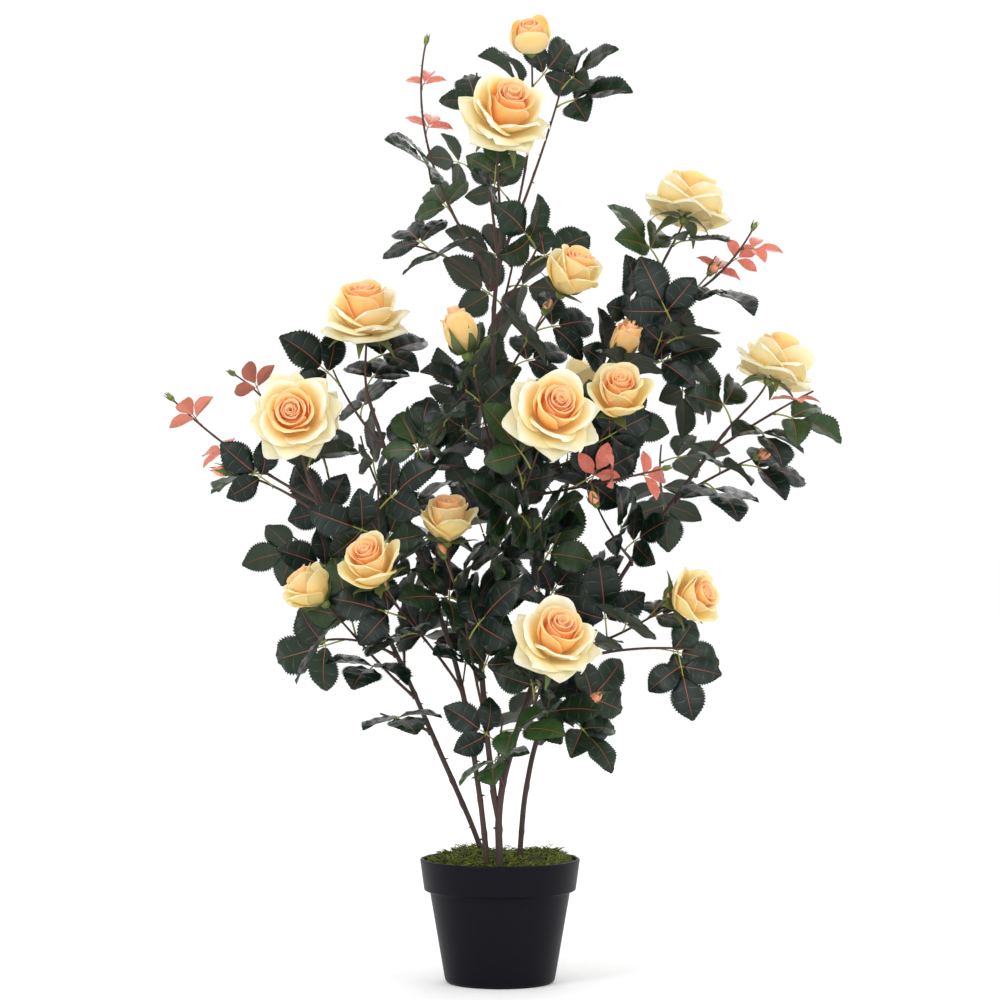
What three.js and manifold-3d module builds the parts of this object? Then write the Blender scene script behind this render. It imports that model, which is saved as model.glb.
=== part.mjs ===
// A potted artificial rose bush, 1.15 m tall. Four canes of plastic-coated wire rise out of a
// moss-topped pot and fork: the middle one bears the tall cane, and the tall one the high cane to
// its right. All of them carry shoots with sprays of three leaflets, buds and roses.
// Units are millimetres, +Z is up, and the origin is the middle of the pot's flat underside.
// Each cane is one mesh, and so is each shoot with its leaves and its rose or buds.
import * as THREE from "three";
import { mergeVertices } from "three/addons/utils/BufferGeometryUtils.js";
import Module from "manifold-3d";

const wasm = await Module();
wasm.setup();

const UP = new THREE.Vector3(0, 0, 1);
const FRONT = new THREE.Vector3(0, -1, 0);
const GAP = 0.3; // between two meshes that meet
const GOLDEN_ANGLE = Math.PI * (3 - Math.sqrt(5));

// ---------------------------------------------------------------- pot and its filling
const POT_HEIGHT = 147;
const POT_WALL = 2.6;
const POT_SIDES = 28;
const FOOT_RADIUS = 58; // the flat that the pot stands on
const BODY_LOW_RADIUS = 66;
const BODY_TOP_RADIUS = 83;
const BAND_LOW_RADIUS = 90;
const BAND_TOP_RADIUS = 95;
const CANE_SIDES = 5;
const CANE_STEPS = 21;
const BAND_FOOT = 111; // height of the rim band's lower edge
const CANE_FOOT = 100; // height of the canes' cut ends, inside the filling

// ---------------------------------------------------------------- leaves
const LEAFLET_LENGTH = 56;
const LEAFLET_WIDTH = 39;
const LEAFLET_THICKNESS = 1.4;
const STALK_LENGTH = 34;
const STALK_RADIUS = 0.9;
const STALK_PITCH = 0.95; // angle between a stalk and its shoot, in radians
const SIDE_LEAFLET_TURN = 1.12; // angle between a side leaflet and the stalk, in radians
const WIDEST_AT = 0.44; // share of a leaflet's length at which it is widest
const SIDE_LEAFLET_AT = 0.68; // where on the stalk the side leaflets sit
const MIDDLE_Y = 40; // leaves in front of this turn to the front, others to the back
const RED_LEAF_SCALE = 0.6; // young leaves on the thin tips

// ---------------------------------------------------------------- materials
const finish = (color, roughness) => new THREE.MeshStandardMaterial({ color, roughness, metalness: 0 });
const POT_PLASTIC = finish(0x202024, 0.6);
const MOSS = finish(0x5a6628, 0.95);
const BARK = finish(0x3a2a26, 0.75);
const LEAF = finish(0x1f2c24, 0.55);
const PETAL = finish(0xf6d79b, 0.6);

// ---------------------------------------------------------------- canes
// via: points that the cane runs through, foot first. radius: at its foot and at its tip.
const CANES = {
  cane_left_outer: {
    via: [
      [-4, 18, CANE_FOOT], [-27, 14, 168], [-83, 2, 299], [-127, -14, 399], [-184, -42, 508],
      [-221, -62, 590],
    ],
    radius: [3.4, 2.2],
  },
  cane_left_inner: {
    via: [
      [-11, -33, CANE_FOOT], [-23, -34, 216], [-46, -30, 354], [-82, -22, 470],
      [-130, -12, 614], [-155, -8, 690],
    ],
    radius: [3.6, 2.2],
  },
  cane_middle: {
    via: [
      [1, -42, CANE_FOOT], [0, -42, 216], [16, -24, 286], [44, 12, 372], [62, 72, 490],
      [84, 128, 600],
    ],
    radius: [4.6, 2.4],
  },
  cane_tall: {
    via: [
      [-7, -40, 222], [-19, -28, 335], [-22, -20, 420], [-2, -12, 540], [-5, -5, 650],
      [-8, 0, 780], [0, -1, 874],
    ],
    radius: [3.6, 2.4],
  },
  cane_right: {
    via: [
      [20, 5, CANE_FOOT], [32, 5, 235], [54, 5, 316], [104, 8, 414], [170, 10, 520],
      [236, 6, 611], [266, 4, 650],
    ],
    radius: [3.4, 2.2],
  },
  cane_right_high: {
    via: [
      [6, -5, 548], [42, 24, 600], [104, 42, 664], [162, 34, 726], [178, 26, 790], [188, 20, 836],
    ],
    radius: [2.6, 2.1],
  },
};

// ---------------------------------------------------------------- shoots
// from: the cane, and the height at which the shoot leaves it, or else it leaves from the tip.
// rose: the rose at its tip: at is the flower's middle, faces the way it opens, size its radius.
// to: the tip of a shoot that has no rose. bud: the radius of a flower bud on such a tip.
// bow: how far the shoot's middle is pushed off the straight line. sideBud: the share of its
// length at which it has a small green bud. leaves: its number of sprays. first: the share of its
// length at which they begin. red: how many of them, counted from the tip, are young red ones.
const SHOOTS = {
  rose_top: {
    from: ["cane_tall"],
    rose: { form: "open", at: [9, -40, 1034], faces: [0.24, -0.72, 0.62], size: 57 },
    bow: [0, 0, 0], leaves: 2, first: 0, seed: 1,
  },
  rose_left_high: {
    from: ["cane_left_inner"],
    rose: { form: "open", at: [-160, -18, 800], faces: [-0.04, -0.42, 0.9], size: 54 },
    bow: [0, 0, 0], leaves: 2, first: 0, seed: 2,
  },
  rose_left: {
    from: ["cane_left_outer"],
    rose: { form: "open", at: [-239, -112, 672], faces: [-0.06, -0.95, 0.18], size: 54 },
    bow: [0, 0, 0], leaves: 2, first: 0, seed: 3,
  },
  rose_right_high: {
    from: ["cane_right_high"],
    rose: { form: "open", at: [227, 20, 936], faces: [0.24, 0.26, 0.93], size: 53 },
    bow: [0, 0, 0], leaves: 2, first: 0, seed: 4,
  },
  rose_right: {
    from: ["cane_right"],
    rose: { form: "open", at: [330, 2, 742], faces: [0.38, 0.18, 0.9], size: 51 },
    bow: [0, 0, 0], leaves: 2, first: 0, seed: 5,
  },
  rose_back_right: {
    from: ["cane_middle"],
    rose: { form: "open", at: [116, 206, 706], faces: [0.3, 0.85, 0.42], size: 52 },
    bow: [0, 0, 0], leaves: 2, first: 0.1, seed: 6,
  },
  rose_middle: {
    from: ["cane_tall", 520],
    rose: { form: "open", at: [64, -160, 677], faces: [0.22, -0.85, 0.42], size: 56 },
    bow: [0, -10, -30], leaves: 3, first: 0.2, seed: 7,
  },
  rose_low: {
    from: ["cane_middle", 300],
    rose: { form: "open", at: [66, -165, 420], faces: [0.22, -0.74, 0.6], size: 53 },
    bow: [4, -20, -26], leaves: 3, first: 0.2, seed: 8,
  },
  rose_back_left: {
    from: ["cane_left_outer", 500],
    rose: { form: "open", at: [-246, 168, 676], faces: [-0.45, 0.85, 0.3], size: 50 },
    bow: [6, 20, -20], leaves: 3, first: 0.2, seed: 9,
  },
  rose_upper: {
    from: ["cane_tall", 690],
    rose: { form: "cup", at: [87, -62, 843], faces: [0.42, -0.42, 0.8], size: 34 },
    bow: [-10, -6, 6], leaves: 3, first: 0.2, sideBud: 0.55, seed: 10,
  },
  rose_half_hidden: {
    from: ["cane_right_high", 610],
    rose: { form: "cup", at: [138, -92, 700], faces: [0.1, -0.7, 0.7], size: 36 },
    bow: [10, -20, -24], leaves: 3, first: 0.2, seed: 11,
  },
  rose_inner: {
    from: ["cane_tall", 400],
    rose: { form: "cup", at: [-61, -70, 556], faces: [0.02, -0.36, 0.93], size: 34 },
    bow: [-8, -16, -10], leaves: 3, first: 0.2, sideBud: 0.6, seed: 12,
  },
  rose_left_mid: {
    from: ["cane_left_inner", 352],
    rose: { form: "cup", at: [-151, -116, 503], faces: [-0.28, -0.66, 0.7], size: 36 },
    bow: [6, -16, 2], leaves: 3, first: 0.3, sideBud: 0.7, seed: 13,
  },
  rose_left_low: {
    from: ["cane_left_outer", 343],
    rose: { form: "cup", at: [-226, -82, 474], faces: [-0.7, -0.15, 0.7], size: 30 },
    bow: [-2, -12, -8], leaves: 3, first: 0.3, seed: 14,
  },
  rose_right_low: {
    from: ["cane_right", 398],
    rose: { form: "cup", at: [228, -96, 461], faces: [0.72, -0.62, 0.32], size: 33 },
    bow: [2, -20, -10], leaves: 3, first: 0.2, sideBud: 0.7, seed: 15,
  },
  rose_back_low: {
    from: ["cane_middle", 300],
    rose: { form: "cup", at: [72, 184, 408], faces: [0.35, 0.8, 0.5], size: 35 },
    bow: [0, 14, -20], leaves: 3, first: 0.2, seed: 16,
  },
  bud_top: {
    from: ["cane_tall", 848], to: [37, 10, 1108],
    bow: [22, 72, 0], leaves: 3, first: 0.76, bud: 18, seed: 17,
  },
  bud_middle: {
    from: ["cane_tall", 590], to: [-39, -74, 744],
    bow: [2, -24, 6], leaves: 4, first: 0.2, bud: 20, seed: 18,
  },
  bud_right: {
    from: ["cane_right_high", 665], to: [138, -26, 742],
    bow: [-2, -8, 0], leaves: 3, first: 0.2, bud: 18, seed: 19,
  },
  tip_high_left: {
    from: ["cane_tall", 836], to: [-88, -10, 1112],
    bow: [-52, -4, -4], leaves: 4, first: 0.2, red: 2, bud: 4, seed: 88,
  },
  tip_left: {
    from: ["cane_left_outer", 572], to: [-386, -20, 690],
    bow: [-4, 12, -14], leaves: 3, first: 0.2, red: 2, bud: 4, seed: 79,
  },
  tip_right: {
    from: ["cane_right_high", 800], to: [299, -8, 892],
    bow: [10, 0, -26], leaves: 4, first: 0.3, red: 3, bud: 4, sideBud: 0.3, seed: 70,
  },
  tip_left_back: {
    from: ["cane_left_outer", 530], to: [-322, 90, 724],
    bow: [10, 26, 36], leaves: 4, first: 0.25, red: 2, bud: 4, seed: 60,
  },
  tip_middle: {
    from: ["cane_right_high", 575], to: [188, -104, 608],
    bow: [-6, -26, -4], leaves: 4, first: 0.3, red: 3, bud: 4, seed: 60,
  },
  spray_top_left: {
    from: ["cane_tall", 864], to: [-28, 22, 1082],
    bow: [-2, 40, 0], leaves: 2, first: 0.7, seed: 64,
  },
  spray_top_right: {
    from: ["cane_tall", 858], to: [80, -2, 1090],
    bow: [12, 44, 10], leaves: 2, first: 0.74, seed: 26,
  },
  spray_neck_left: {
    from: ["cane_tall", 824], to: [-104, -30, 872],
    bow: [-4, -6, 12], leaves: 2, first: 0.5, seed: 27,
  },
  spray_neck_right: {
    from: ["cane_tall", 790], to: [52, -40, 886], bow: [4, 8, -4], leaves: 2, first: 0.5, seed: 28,
  },
  spray_neck_back: {
    from: ["cane_tall", 760], to: [20, 90, 880], bow: [0, 8, -8], leaves: 3, first: 0.3, seed: 29,
  },
  spray_left_crown: {
    from: ["cane_left_inner", 640], to: [-200, 36, 728],
    bow: [-6, 0, -6], leaves: 3, first: 0.25, seed: 30,
  },
  spray_left_gap: {
    from: ["cane_left_inner", 575], to: [-66, -72, 670],
    bow: [6, -12, -12], leaves: 4, first: 0.2, seed: 31,
  },
  spray_left_inner: {
    from: ["cane_left_inner", 505], to: [-170, 110, 650],
    bow: [-14, 10, 0], leaves: 4, first: 0.2, seed: 32,
  },
  spray_left_arm: {
    from: ["cane_left_outer", 552], to: [-316, -50, 604],
    bow: [0, 6, 12], leaves: 2, first: 0.45, bud: 8, seed: 33,
  },
  spray_left_flank: {
    from: ["cane_left_outer", 462], to: [-250, 60, 528],
    bow: [0, 12, 0], leaves: 3, first: 0.25, seed: 34,
  },
  spray_left_middle: {
    from: ["cane_left_outer", 425], to: [-142, -74, 592],
    bow: [0, -10, -6], leaves: 4, first: 0.2, seed: 35,
  },
  spray_left_droop: {
    from: ["cane_left_outer", 392], to: [-222, -66, 404],
    bow: [0, -10, 16], leaves: 2, first: 0.5, seed: 36,
  },
  spray_low_left: {
    from: ["cane_left_outer", 300], to: [-140, -56, 322],
    bow: [4, -4, -2], leaves: 1, first: 0.7, seed: 37,
  },
  spray_low_back: {
    from: ["cane_left_outer", 370], to: [-118, 128, 470],
    bow: [0, 12, -6], leaves: 3, first: 0.3, seed: 38,
  },
  spray_low_front: {
    from: ["cane_middle", 238], to: [4, -118, 322],
    bow: [-8, -6, -14], leaves: 3, first: 0.4, seed: 39,
  },
  spray_low_centre: {
    from: ["cane_tall", 318], to: [-40, -100, 430],
    bow: [0, -6, -10], leaves: 4, first: 0.3, seed: 40,
  },
  spray_low_right: {
    from: ["cane_right", 300], to: [104, -56, 334],
    bow: [0, -8, -6], leaves: 3, first: 0.3, bud: 8, seed: 41,
  },
  spray_right_droop: {
    from: ["cane_right", 385], to: [236, -56, 396],
    bow: [0, -8, 10], leaves: 2, first: 0.55, seed: 42,
  },
  spray_centre: {
    from: ["cane_middle", 420], to: [36, -66, 560],
    bow: [0, -10, -10], leaves: 5, first: 0.1, seed: 43,
  },
  spray_centre_back: {
    from: ["cane_tall", 500], to: [10, 130, 600],
    bow: [0, 14, -10], leaves: 4, first: 0.25, seed: 44,
  },
  spray_right_front: {
    from: ["cane_right", 500], to: [112, -92, 566],
    bow: [-4, -14, -4], leaves: 4, first: 0.1, bud: 8, seed: 45,
  },
  spray_right_arm: {
    from: ["cane_right", 575], to: [300, -44, 622],
    bow: [0, -10, 4], leaves: 3, first: 0.25, bud: 8, seed: 46,
  },
  spray_right_tip: {
    from: ["cane_right", 632], to: [368, -44, 700],
    bow: [2, -6, 4], leaves: 3, first: 0.3, red: 1, seed: 68,
  },
  spray_right_crown: {
    from: ["cane_right_high", 725], to: [256, 62, 706],
    bow: [6, 8, 14], leaves: 3, first: 0.2, seed: 48,
  },
  spray_right_face: {
    from: ["cane_right_high", 700], to: [218, -50, 792],
    bow: [6, -10, -6], leaves: 4, first: 0.25, seed: 49,
  },
  spray_right_top: {
    from: ["cane_right_high", 760], to: [128, -22, 800],
    bow: [0, -10, 6], leaves: 2, first: 0.4, seed: 50,
  },
  spray_right_back: {
    from: ["cane_right", 560], to: [200, 178, 640],
    bow: [-6, 14, -10], leaves: 3, first: 0.25, seed: 51,
  },
  spray_high_back: {
    from: ["cane_tall", 640], to: [-40, 150, 758],
    bow: [0, 18, -14], leaves: 4, first: 0.25, bud: 16, seed: 52,
  },
};
// How far a rose's middle stands above its seat on the stem, in sizes.
const SEAT_DEPTH = { open: 0.56, cup: 0.95 };
const SHOOT_FOOT_RADIUS = 1.9;
const SHOOT_TIP_RADIUS = 1.1;
const SIDE_BUD_STALK = 34;
const SIDE_BUD_RADIUS = 7;

// Space that each piece keeps to itself, as balls along it.
const LEAF_BALL = 4.6;
const STALK_BALL = 2.2;
const TURNS_TRIED = 12;
const ENOUGH_ROOM = 16; // a turn with more room than this is no better

// ---------------------------------------------------------------- solids
const vec = (p) => new THREE.Vector3(...p);

// The same run of numbers from 0 to 1 for the same seed.
function dice(seed) {
  let state = (seed * 2654435761) >>> 0;
  return () => {
    state = (Math.imul(state, 1664525) + 1013904223) >>> 0;
    return state / 4294967296;
  };
}

function solidOf(geometry) {
  geometry.deleteAttribute("normal");
  geometry.deleteAttribute("uv");
  const merged = mergeVertices(geometry, 1e-4);
  return new wasm.Manifold(
    new wasm.Mesh({
      numProp: 3,
      vertProperties: merged.attributes.position.array,
      triVerts: new Uint32Array(merged.index.array),
    }),
  );
}

function geometryOf(solid) {
  const mesh = solid.getMesh();
  return new THREE.BufferGeometry()
    .setAttribute("position", new THREE.BufferAttribute(mesh.vertProperties, 3))
    .setIndex(new THREE.BufferAttribute(mesh.triVerts, 1));
}

// A closed tube along a curve, whose radius runs evenly from footRadius to tipRadius.
function taperedTube(curve, footRadius, tipRadius, sides, steps) {
  const frames = curve.computeFrenetFrames(steps, false);
  const positions = [];
  const faces = [];
  for (let i = 0; i <= steps; i++) {
    const centre = curve.getPointAt(i / steps);
    const radius = footRadius + ((tipRadius - footRadius) * i) / steps;
    for (let k = 0; k < sides; k++) {
      const angle = (2 * Math.PI * k) / sides;
      const p = centre
        .clone()
        .addScaledVector(frames.normals[i], radius * Math.cos(angle))
        .addScaledVector(frames.binormals[i], radius * Math.sin(angle));
      positions.push(p.x, p.y, p.z);
    }
  }
  for (let i = 0; i < steps; i++)
    for (let k = 0; k < sides; k++) {
      const a = i * sides + k;
      const b = i * sides + ((k + 1) % sides);
      faces.push(a, b, b + sides, a, b + sides, a + sides);
    }
  for (let k = 1; k < sides - 1; k++) {
    const last = steps * sides;
    faces.push(0, k + 1, k, last, last + k, last + k + 1);
  }
  return solidOf(
    new THREE.BufferGeometry()
      .setAttribute("position", new THREE.Float32BufferAttribute(positions, 3))
      .setIndex(faces),
  );
}

// A solid turned about its own +Z, whose profile [radius, height] starts and ends on the axis.
function turned(profile, sides) {
  const geometry = new THREE.LatheGeometry(profile.map(([r, z]) => new THREE.Vector2(r, z)), sides);
  return geometry.rotateX(Math.PI / 2); // the lathe turns about Y
}

// The geometry moved so that its +Z points along `axis` and its origin is at `place`.
function stoodAt(geometry, place, axis) {
  const turn = new THREE.Quaternion().setFromUnitVectors(UP, axis);
  return geometry.applyQuaternion(turn).translate(place.x, place.y, place.z);
}

function biggestPiece(solid) {
  return solid.decompose().sort((a, b) => b.volume() - a.volume())[0];
}

// ---------------------------------------------------------------- pot and filling
const potOutside = [
  [0, 0],
  [FOOT_RADIUS, 0],
  [BODY_LOW_RADIUS - 2.4, 2.6],
  [BODY_LOW_RADIUS, 8],
  [BODY_TOP_RADIUS, BAND_FOOT - 7],
  [BAND_LOW_RADIUS - 1.5, BAND_FOOT - 1.5],
  [BAND_LOW_RADIUS, BAND_FOOT + 1],
  [BAND_TOP_RADIUS, POT_HEIGHT - 3],
  [BAND_TOP_RADIUS - 1, POT_HEIGHT],
];
const potInside = [
  [BAND_TOP_RADIUS - 4, POT_HEIGHT],
  [BAND_TOP_RADIUS - 4.6, POT_HEIGHT - 3],
  [BAND_LOW_RADIUS - POT_WALL, BAND_FOOT + 3],
  [BODY_TOP_RADIUS - POT_WALL, BAND_FOOT - 5],
  [BODY_LOW_RADIUS - POT_WALL, 9],
  [FOOT_RADIUS, 3.2],
  [0, 3.2],
];

function makePot() {
  return solidOf(turned([...potOutside, ...potInside], POT_SIDES));
}

// Height of the moss above the pot's underside: two humps, lower towards the front.
function mossHeight(x, y) {
  const hump = (cx, cy, height, spread) =>
    height * Math.exp(-((x - cx) ** 2 + (y - cy) ** 2) / spread ** 2);
  const ripple = 1.6 * Math.sin(x / 6.5 + 1) * Math.cos(y / 7.5) + 1.1 * Math.sin((x + y) / 4.2);
  return 141 + 0.06 * y + hump(-34, 14, 17, 30) + hump(48, 12, 12, 38) + ripple;
}

function makeFilling() {
  const wall = potInside.slice(2).map(([r, z]) => {
    const isFloor = r < FOOT_RADIUS + 1;
    return [Math.max(0, r - GAP), isFloor ? z + GAP : z];
  });
  const top = wall[0][0];
  const mossRings = 4;
  const rim = [[top + 1.2, BAND_FOOT + 16]];
  const mound = Array.from({ length: mossRings }, (_, i) => {
    const share = 1 - (i + 1) / mossRings;
    return [(top + 1.2) * share, POT_HEIGHT];
  });
  const geometry = turned([...wall.reverse(), ...rim, ...mound], POT_SIDES);
  const p = geometry.attributes.position;
  for (let i = 0; i < p.count; i++)
    if (p.getZ(i) === POT_HEIGHT) p.setZ(i, mossHeight(p.getX(i), p.getY(i)));
  return solidOf(geometry);
}

// ---------------------------------------------------------------- flowers
// Profiles [radius, height] from the seat up, in sizes. The rim petals curl out and down on an
// open rose. WAVE lifts and widens the rim at each of the outer petals.
const FLOWERS = {
  open: {
    sides: 10,
    waves: 5,
    profile: [
      [0, 0],
      [0.13, 0.04],
      [0.5, 0.2],
      [0.98, 0.4],
      [0.7, 0.66],
      [0.5, 1.0],
      [0, 0.92],
    ],
  },
  cup: {
    sides: 8,
    waves: 4,
    profile: [
      [0, 0],
      [0.22, 0.06],
      [0.6, 0.56],
      [0.88, 1.1],
      [0.98, 1.56],
      [0.6, 1.74],
      [0, 1.7],
    ],
  },
  bud: {
    sides: 5,
    waves: 0,
    profile: [
      [0, 0],
      [0.62, 0.4],
      [0.98, 1.3],
      [0.7, 2.2],
      [0, 2.8],
    ],
  },
};
const WAVE = 0.09;

function flower(form, size, seat, axis) {
  const { sides, waves, profile } = FLOWERS[form];
  const geometry = turned(profile.map(([r, z]) => [r * size, z * size]), sides);
  const p = geometry.attributes.position;
  for (let i = 0; i < p.count; i++) {
    const radius = Math.hypot(p.getX(i), p.getY(i)) / size;
    if (waves === 0 || radius < 0.4) continue;
    const swell = 1 + WAVE * Math.cos(waves * Math.atan2(p.getY(i), p.getX(i))) * radius;
    p.setXYZ(i, p.getX(i) * swell, p.getY(i) * swell, p.getZ(i));
  }
  return solidOf(stoodAt(geometry, seat, axis));
}

// ---------------------------------------------------------------- leaves
// Three corners about `at`: a ridge on the side of the normal, then left and right of `along`.
function ringAround(at, along, normal, half, thickness) {
  const left = new THREE.Vector3().crossVectors(normal, along);
  const below = at.clone().addScaledVector(normal, -0.3 * thickness);
  return [
    at.clone().addScaledVector(normal, 0.7 * thickness),
    below.clone().addScaledVector(left, half),
    below.clone().addScaledVector(left, -half),
  ];
}

// A whole spray as one closed body: the stalk parts into two side leaflets and runs on into the
// third. Each leaflet starts at a ring of the stalk, is widest at the next ring and ends in a tip.
function spraySolid({ stalk, out, normal, leaflets }) {
  const [foot, end] = stalk;
  const fork = leaflets[1].root;
  const r = STALK_RADIUS;
  const stalkRing = (at, scale) => ringAround(at, out, normal, r * scale, 2 * r * scale);
  const footRing = stalkRing(foot, 1.2);
  const [ridge, leftNear, rightNear] = stalkRing(fork.clone().addScaledVector(out, -1.3), 1);
  const [, leftFar, rightFar] = stalkRing(fork.clone().addScaledVector(out, 1.3), 1);
  const endRing = stalkRing(end, 0.8);
  const positions = [];
  const triangle = (...corners) => corners.forEach((corner) => positions.push(...corner.toArray()));
  const band = (from, to) =>
    from.forEach((corner, k) => {
      const next = (k + 1) % 3;
      triangle(corner, to[k], to[next]);
      triangle(corner, to[next], from[next]);
    });
  const blade = (from, { root, along, normal: up, length, width }) => {
    const middle = root.clone().addScaledVector(along, WIDEST_AT * length);
    const widest = ringAround(middle, along, up, width / 2, LEAFLET_THICKNESS);
    const tip = root.clone().addScaledVector(along, length);
    band(from, widest);
    widest.forEach((corner, k) => triangle(corner, tip, widest[(k + 1) % 3]));
  };
  triangle(...footRing);
  band(footRing, [ridge, leftNear, rightNear]);
  triangle(leftNear, leftFar, rightFar);
  triangle(leftNear, rightFar, rightNear);
  band([ridge, leftFar, rightFar], endRing);
  blade(endRing, leaflets[0]);
  blade([ridge, leftNear, leftFar], leaflets[1]);
  blade([ridge, rightFar, rightNear], leaflets[2]);
  return solidOf(
    new THREE.BufferGeometry().setAttribute("position", new THREE.Float32BufferAttribute(positions, 3)),
  );
}

// Balls that stand for a leaflet when its space is tested.
function leafletBalls({ root, along, normal, length, width }) {
  const across = new THREE.Vector3().crossVectors(normal, along);
  const spots = [
    [0.22, 0.2],
    [0.22, -0.2],
    [0.48, 0.36],
    [0.48, 0],
    [0.48, -0.36],
    [0.75, 0.2],
    [0.75, -0.2],
    [0.96, 0],
  ];
  return spots.map(([a, s]) => ({
    at: root.clone().addScaledVector(along, a * length).addScaledVector(across, s * width),
    radius: LEAF_BALL,
  }));
}

// One spray: a stalk that droops a little and its three leaflets.
function layOutSpray(foot, out, roll, scale) {
  const stalk = STALK_LENGTH * scale;
  const outward = new THREE.Vector3(foot.x, foot.y, 0).normalize();
  const side = foot.y < MIDDLE_Y ? 0.6 : -0.6;
  const towards = UP.clone().multiplyScalar(0.5).addScaledVector(outward, 0.4).addScaledVector(FRONT, side);
  const normal = towards.addScaledVector(out, -towards.dot(out)).normalize().applyAxisAngle(out, roll);
  const end = foot.clone().addScaledVector(out, stalk);
  const sideRoot = foot.clone().lerp(end, SIDE_LEAFLET_AT);
  const leaflet = (root, turn, dip, size) => {
    const along = out.clone().applyAxisAngle(normal, turn);
    const across = new THREE.Vector3().crossVectors(normal, along);
    along.applyAxisAngle(across, dip);
    return {
      root,
      along,
      normal: new THREE.Vector3().crossVectors(along, across).normalize(),
      length: LEAFLET_LENGTH * size,
      width: LEAFLET_WIDTH * size,
    };
  };
  return {
    stalk: [foot, end],
    out,
    normal,
    leaflets: [
      leaflet(end, 0, 0.22, scale),
      leaflet(sideRoot, SIDE_LEAFLET_TURN, 0.12, scale * 0.86),
      leaflet(sideRoot, -SIDE_LEAFLET_TURN, 0.12, scale * 0.86),
    ],
  };
}

// ---------------------------------------------------------------- the plant
const taken = []; // balls of space that are in use: { at, radius, owner }

// The narrowest gap between some balls and the space in use, apart from one owner's.
function roomAround(balls, ignored) {
  let room = Infinity;
  for (const other of taken) {
    if (other.owner === ignored) continue;
    for (const ball of balls) {
      const gap = other.at.distanceTo(ball.at) - other.radius - ball.radius;
      room = Math.min(room, gap);
    }
  }
  return room;
}

function ballsAlong(curve, radius, spacing, owner) {
  const count = Math.ceil(curve.getLength() / spacing);
  for (let i = 0; i <= count; i++) taken.push({ at: curve.getPointAt(i / count), radius, owner });
}

const caneCurve = ({ via }) => new THREE.CatmullRomCurve3(via.map(vec), false, "centripetal");

// The seat of a rose: where its stem ends.
function seatOf({ form, at, faces, size }) {
  return vec(at).addScaledVector(vec(faces).normalize(), -SEAT_DEPTH[form] * size);
}

// The share of a cane's length at which it passes a height.
function shareAtHeight(curve, height) {
  let share = 0;
  while (share < 1 && curve.getPointAt(share).z < height) share += 0.002;
  return share;
}

// A shoot's curve, from just beyond its cane's tip or beside its cane's surface.
function shootCurve({ from, to, rose, bow }, canes) {
  const [caneName, height] = from;
  const { curve, radius } = canes[caneName];
  const end = rose ? seatOf(rose) : vec(to);
  if (!height) {
    const heading = curve.getTangentAt(1);
    const start = curve.getPointAt(1).addScaledVector(heading, GAP);
    const reach = start.distanceTo(end) / 3;
    const neck = end.clone().addScaledVector(vec(rose.faces).normalize(), -reach);
    return new THREE.CubicBezierCurve3(start, start.clone().addScaledVector(heading, reach), neck, end);
  }
  const share = shareAtHeight(curve, height);
  const onAxis = curve.getPointAt(share);
  const thickness = radius[0] + (radius[1] - radius[0]) * share;
  const knee = onAxis.clone().lerp(end, 0.4).add(vec(bow));
  const neck = rose
    ? end.clone().addScaledVector(vec(rose.faces).normalize(), -34)
    : onAxis.clone().lerp(end, 0.75).addScaledVector(vec(bow), 0.7);
  const heading = knee.clone().sub(onAxis).normalize();
  const tangent = curve.getTangentAt(share);
  const sideways = heading.clone().addScaledVector(tangent, -heading.dot(tangent)).normalize();
  const start = onAxis.addScaledVector(sideways, thickness + GAP + SHOOT_FOOT_RADIUS);
  return new THREE.CubicBezierCurve3(start, knee, neck, end);
}

const group = new THREE.Group();
const placed = []; // the solids so far, each with its name and bounding box
function keepSpace(name, solid) {
  const { min, max } = solid.boundingBox();
  placed.push({ name, solid, box: new THREE.Box3(vec(min), vec(max)) });
}

function addPiece(name, solid, material) {
  const mesh = new THREE.Mesh(geometryOf(solid), material);
  mesh.name = name;
  group.add(mesh);
  keepSpace(name, solid);
}

// True if a solid of the piece `name` runs into another piece that is already placed.
function runsInto(name, solid) {
  const { min, max } = solid.boundingBox();
  const box = new THREE.Box3(vec(min), vec(max)).expandByScalar(GAP);
  const nearby = placed.filter((other) => other.name !== name && box.intersectsBox(other.box));
  return nearby.some((other) => other.solid.minGap(solid, GAP) < GAP * 0.9);
}

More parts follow.
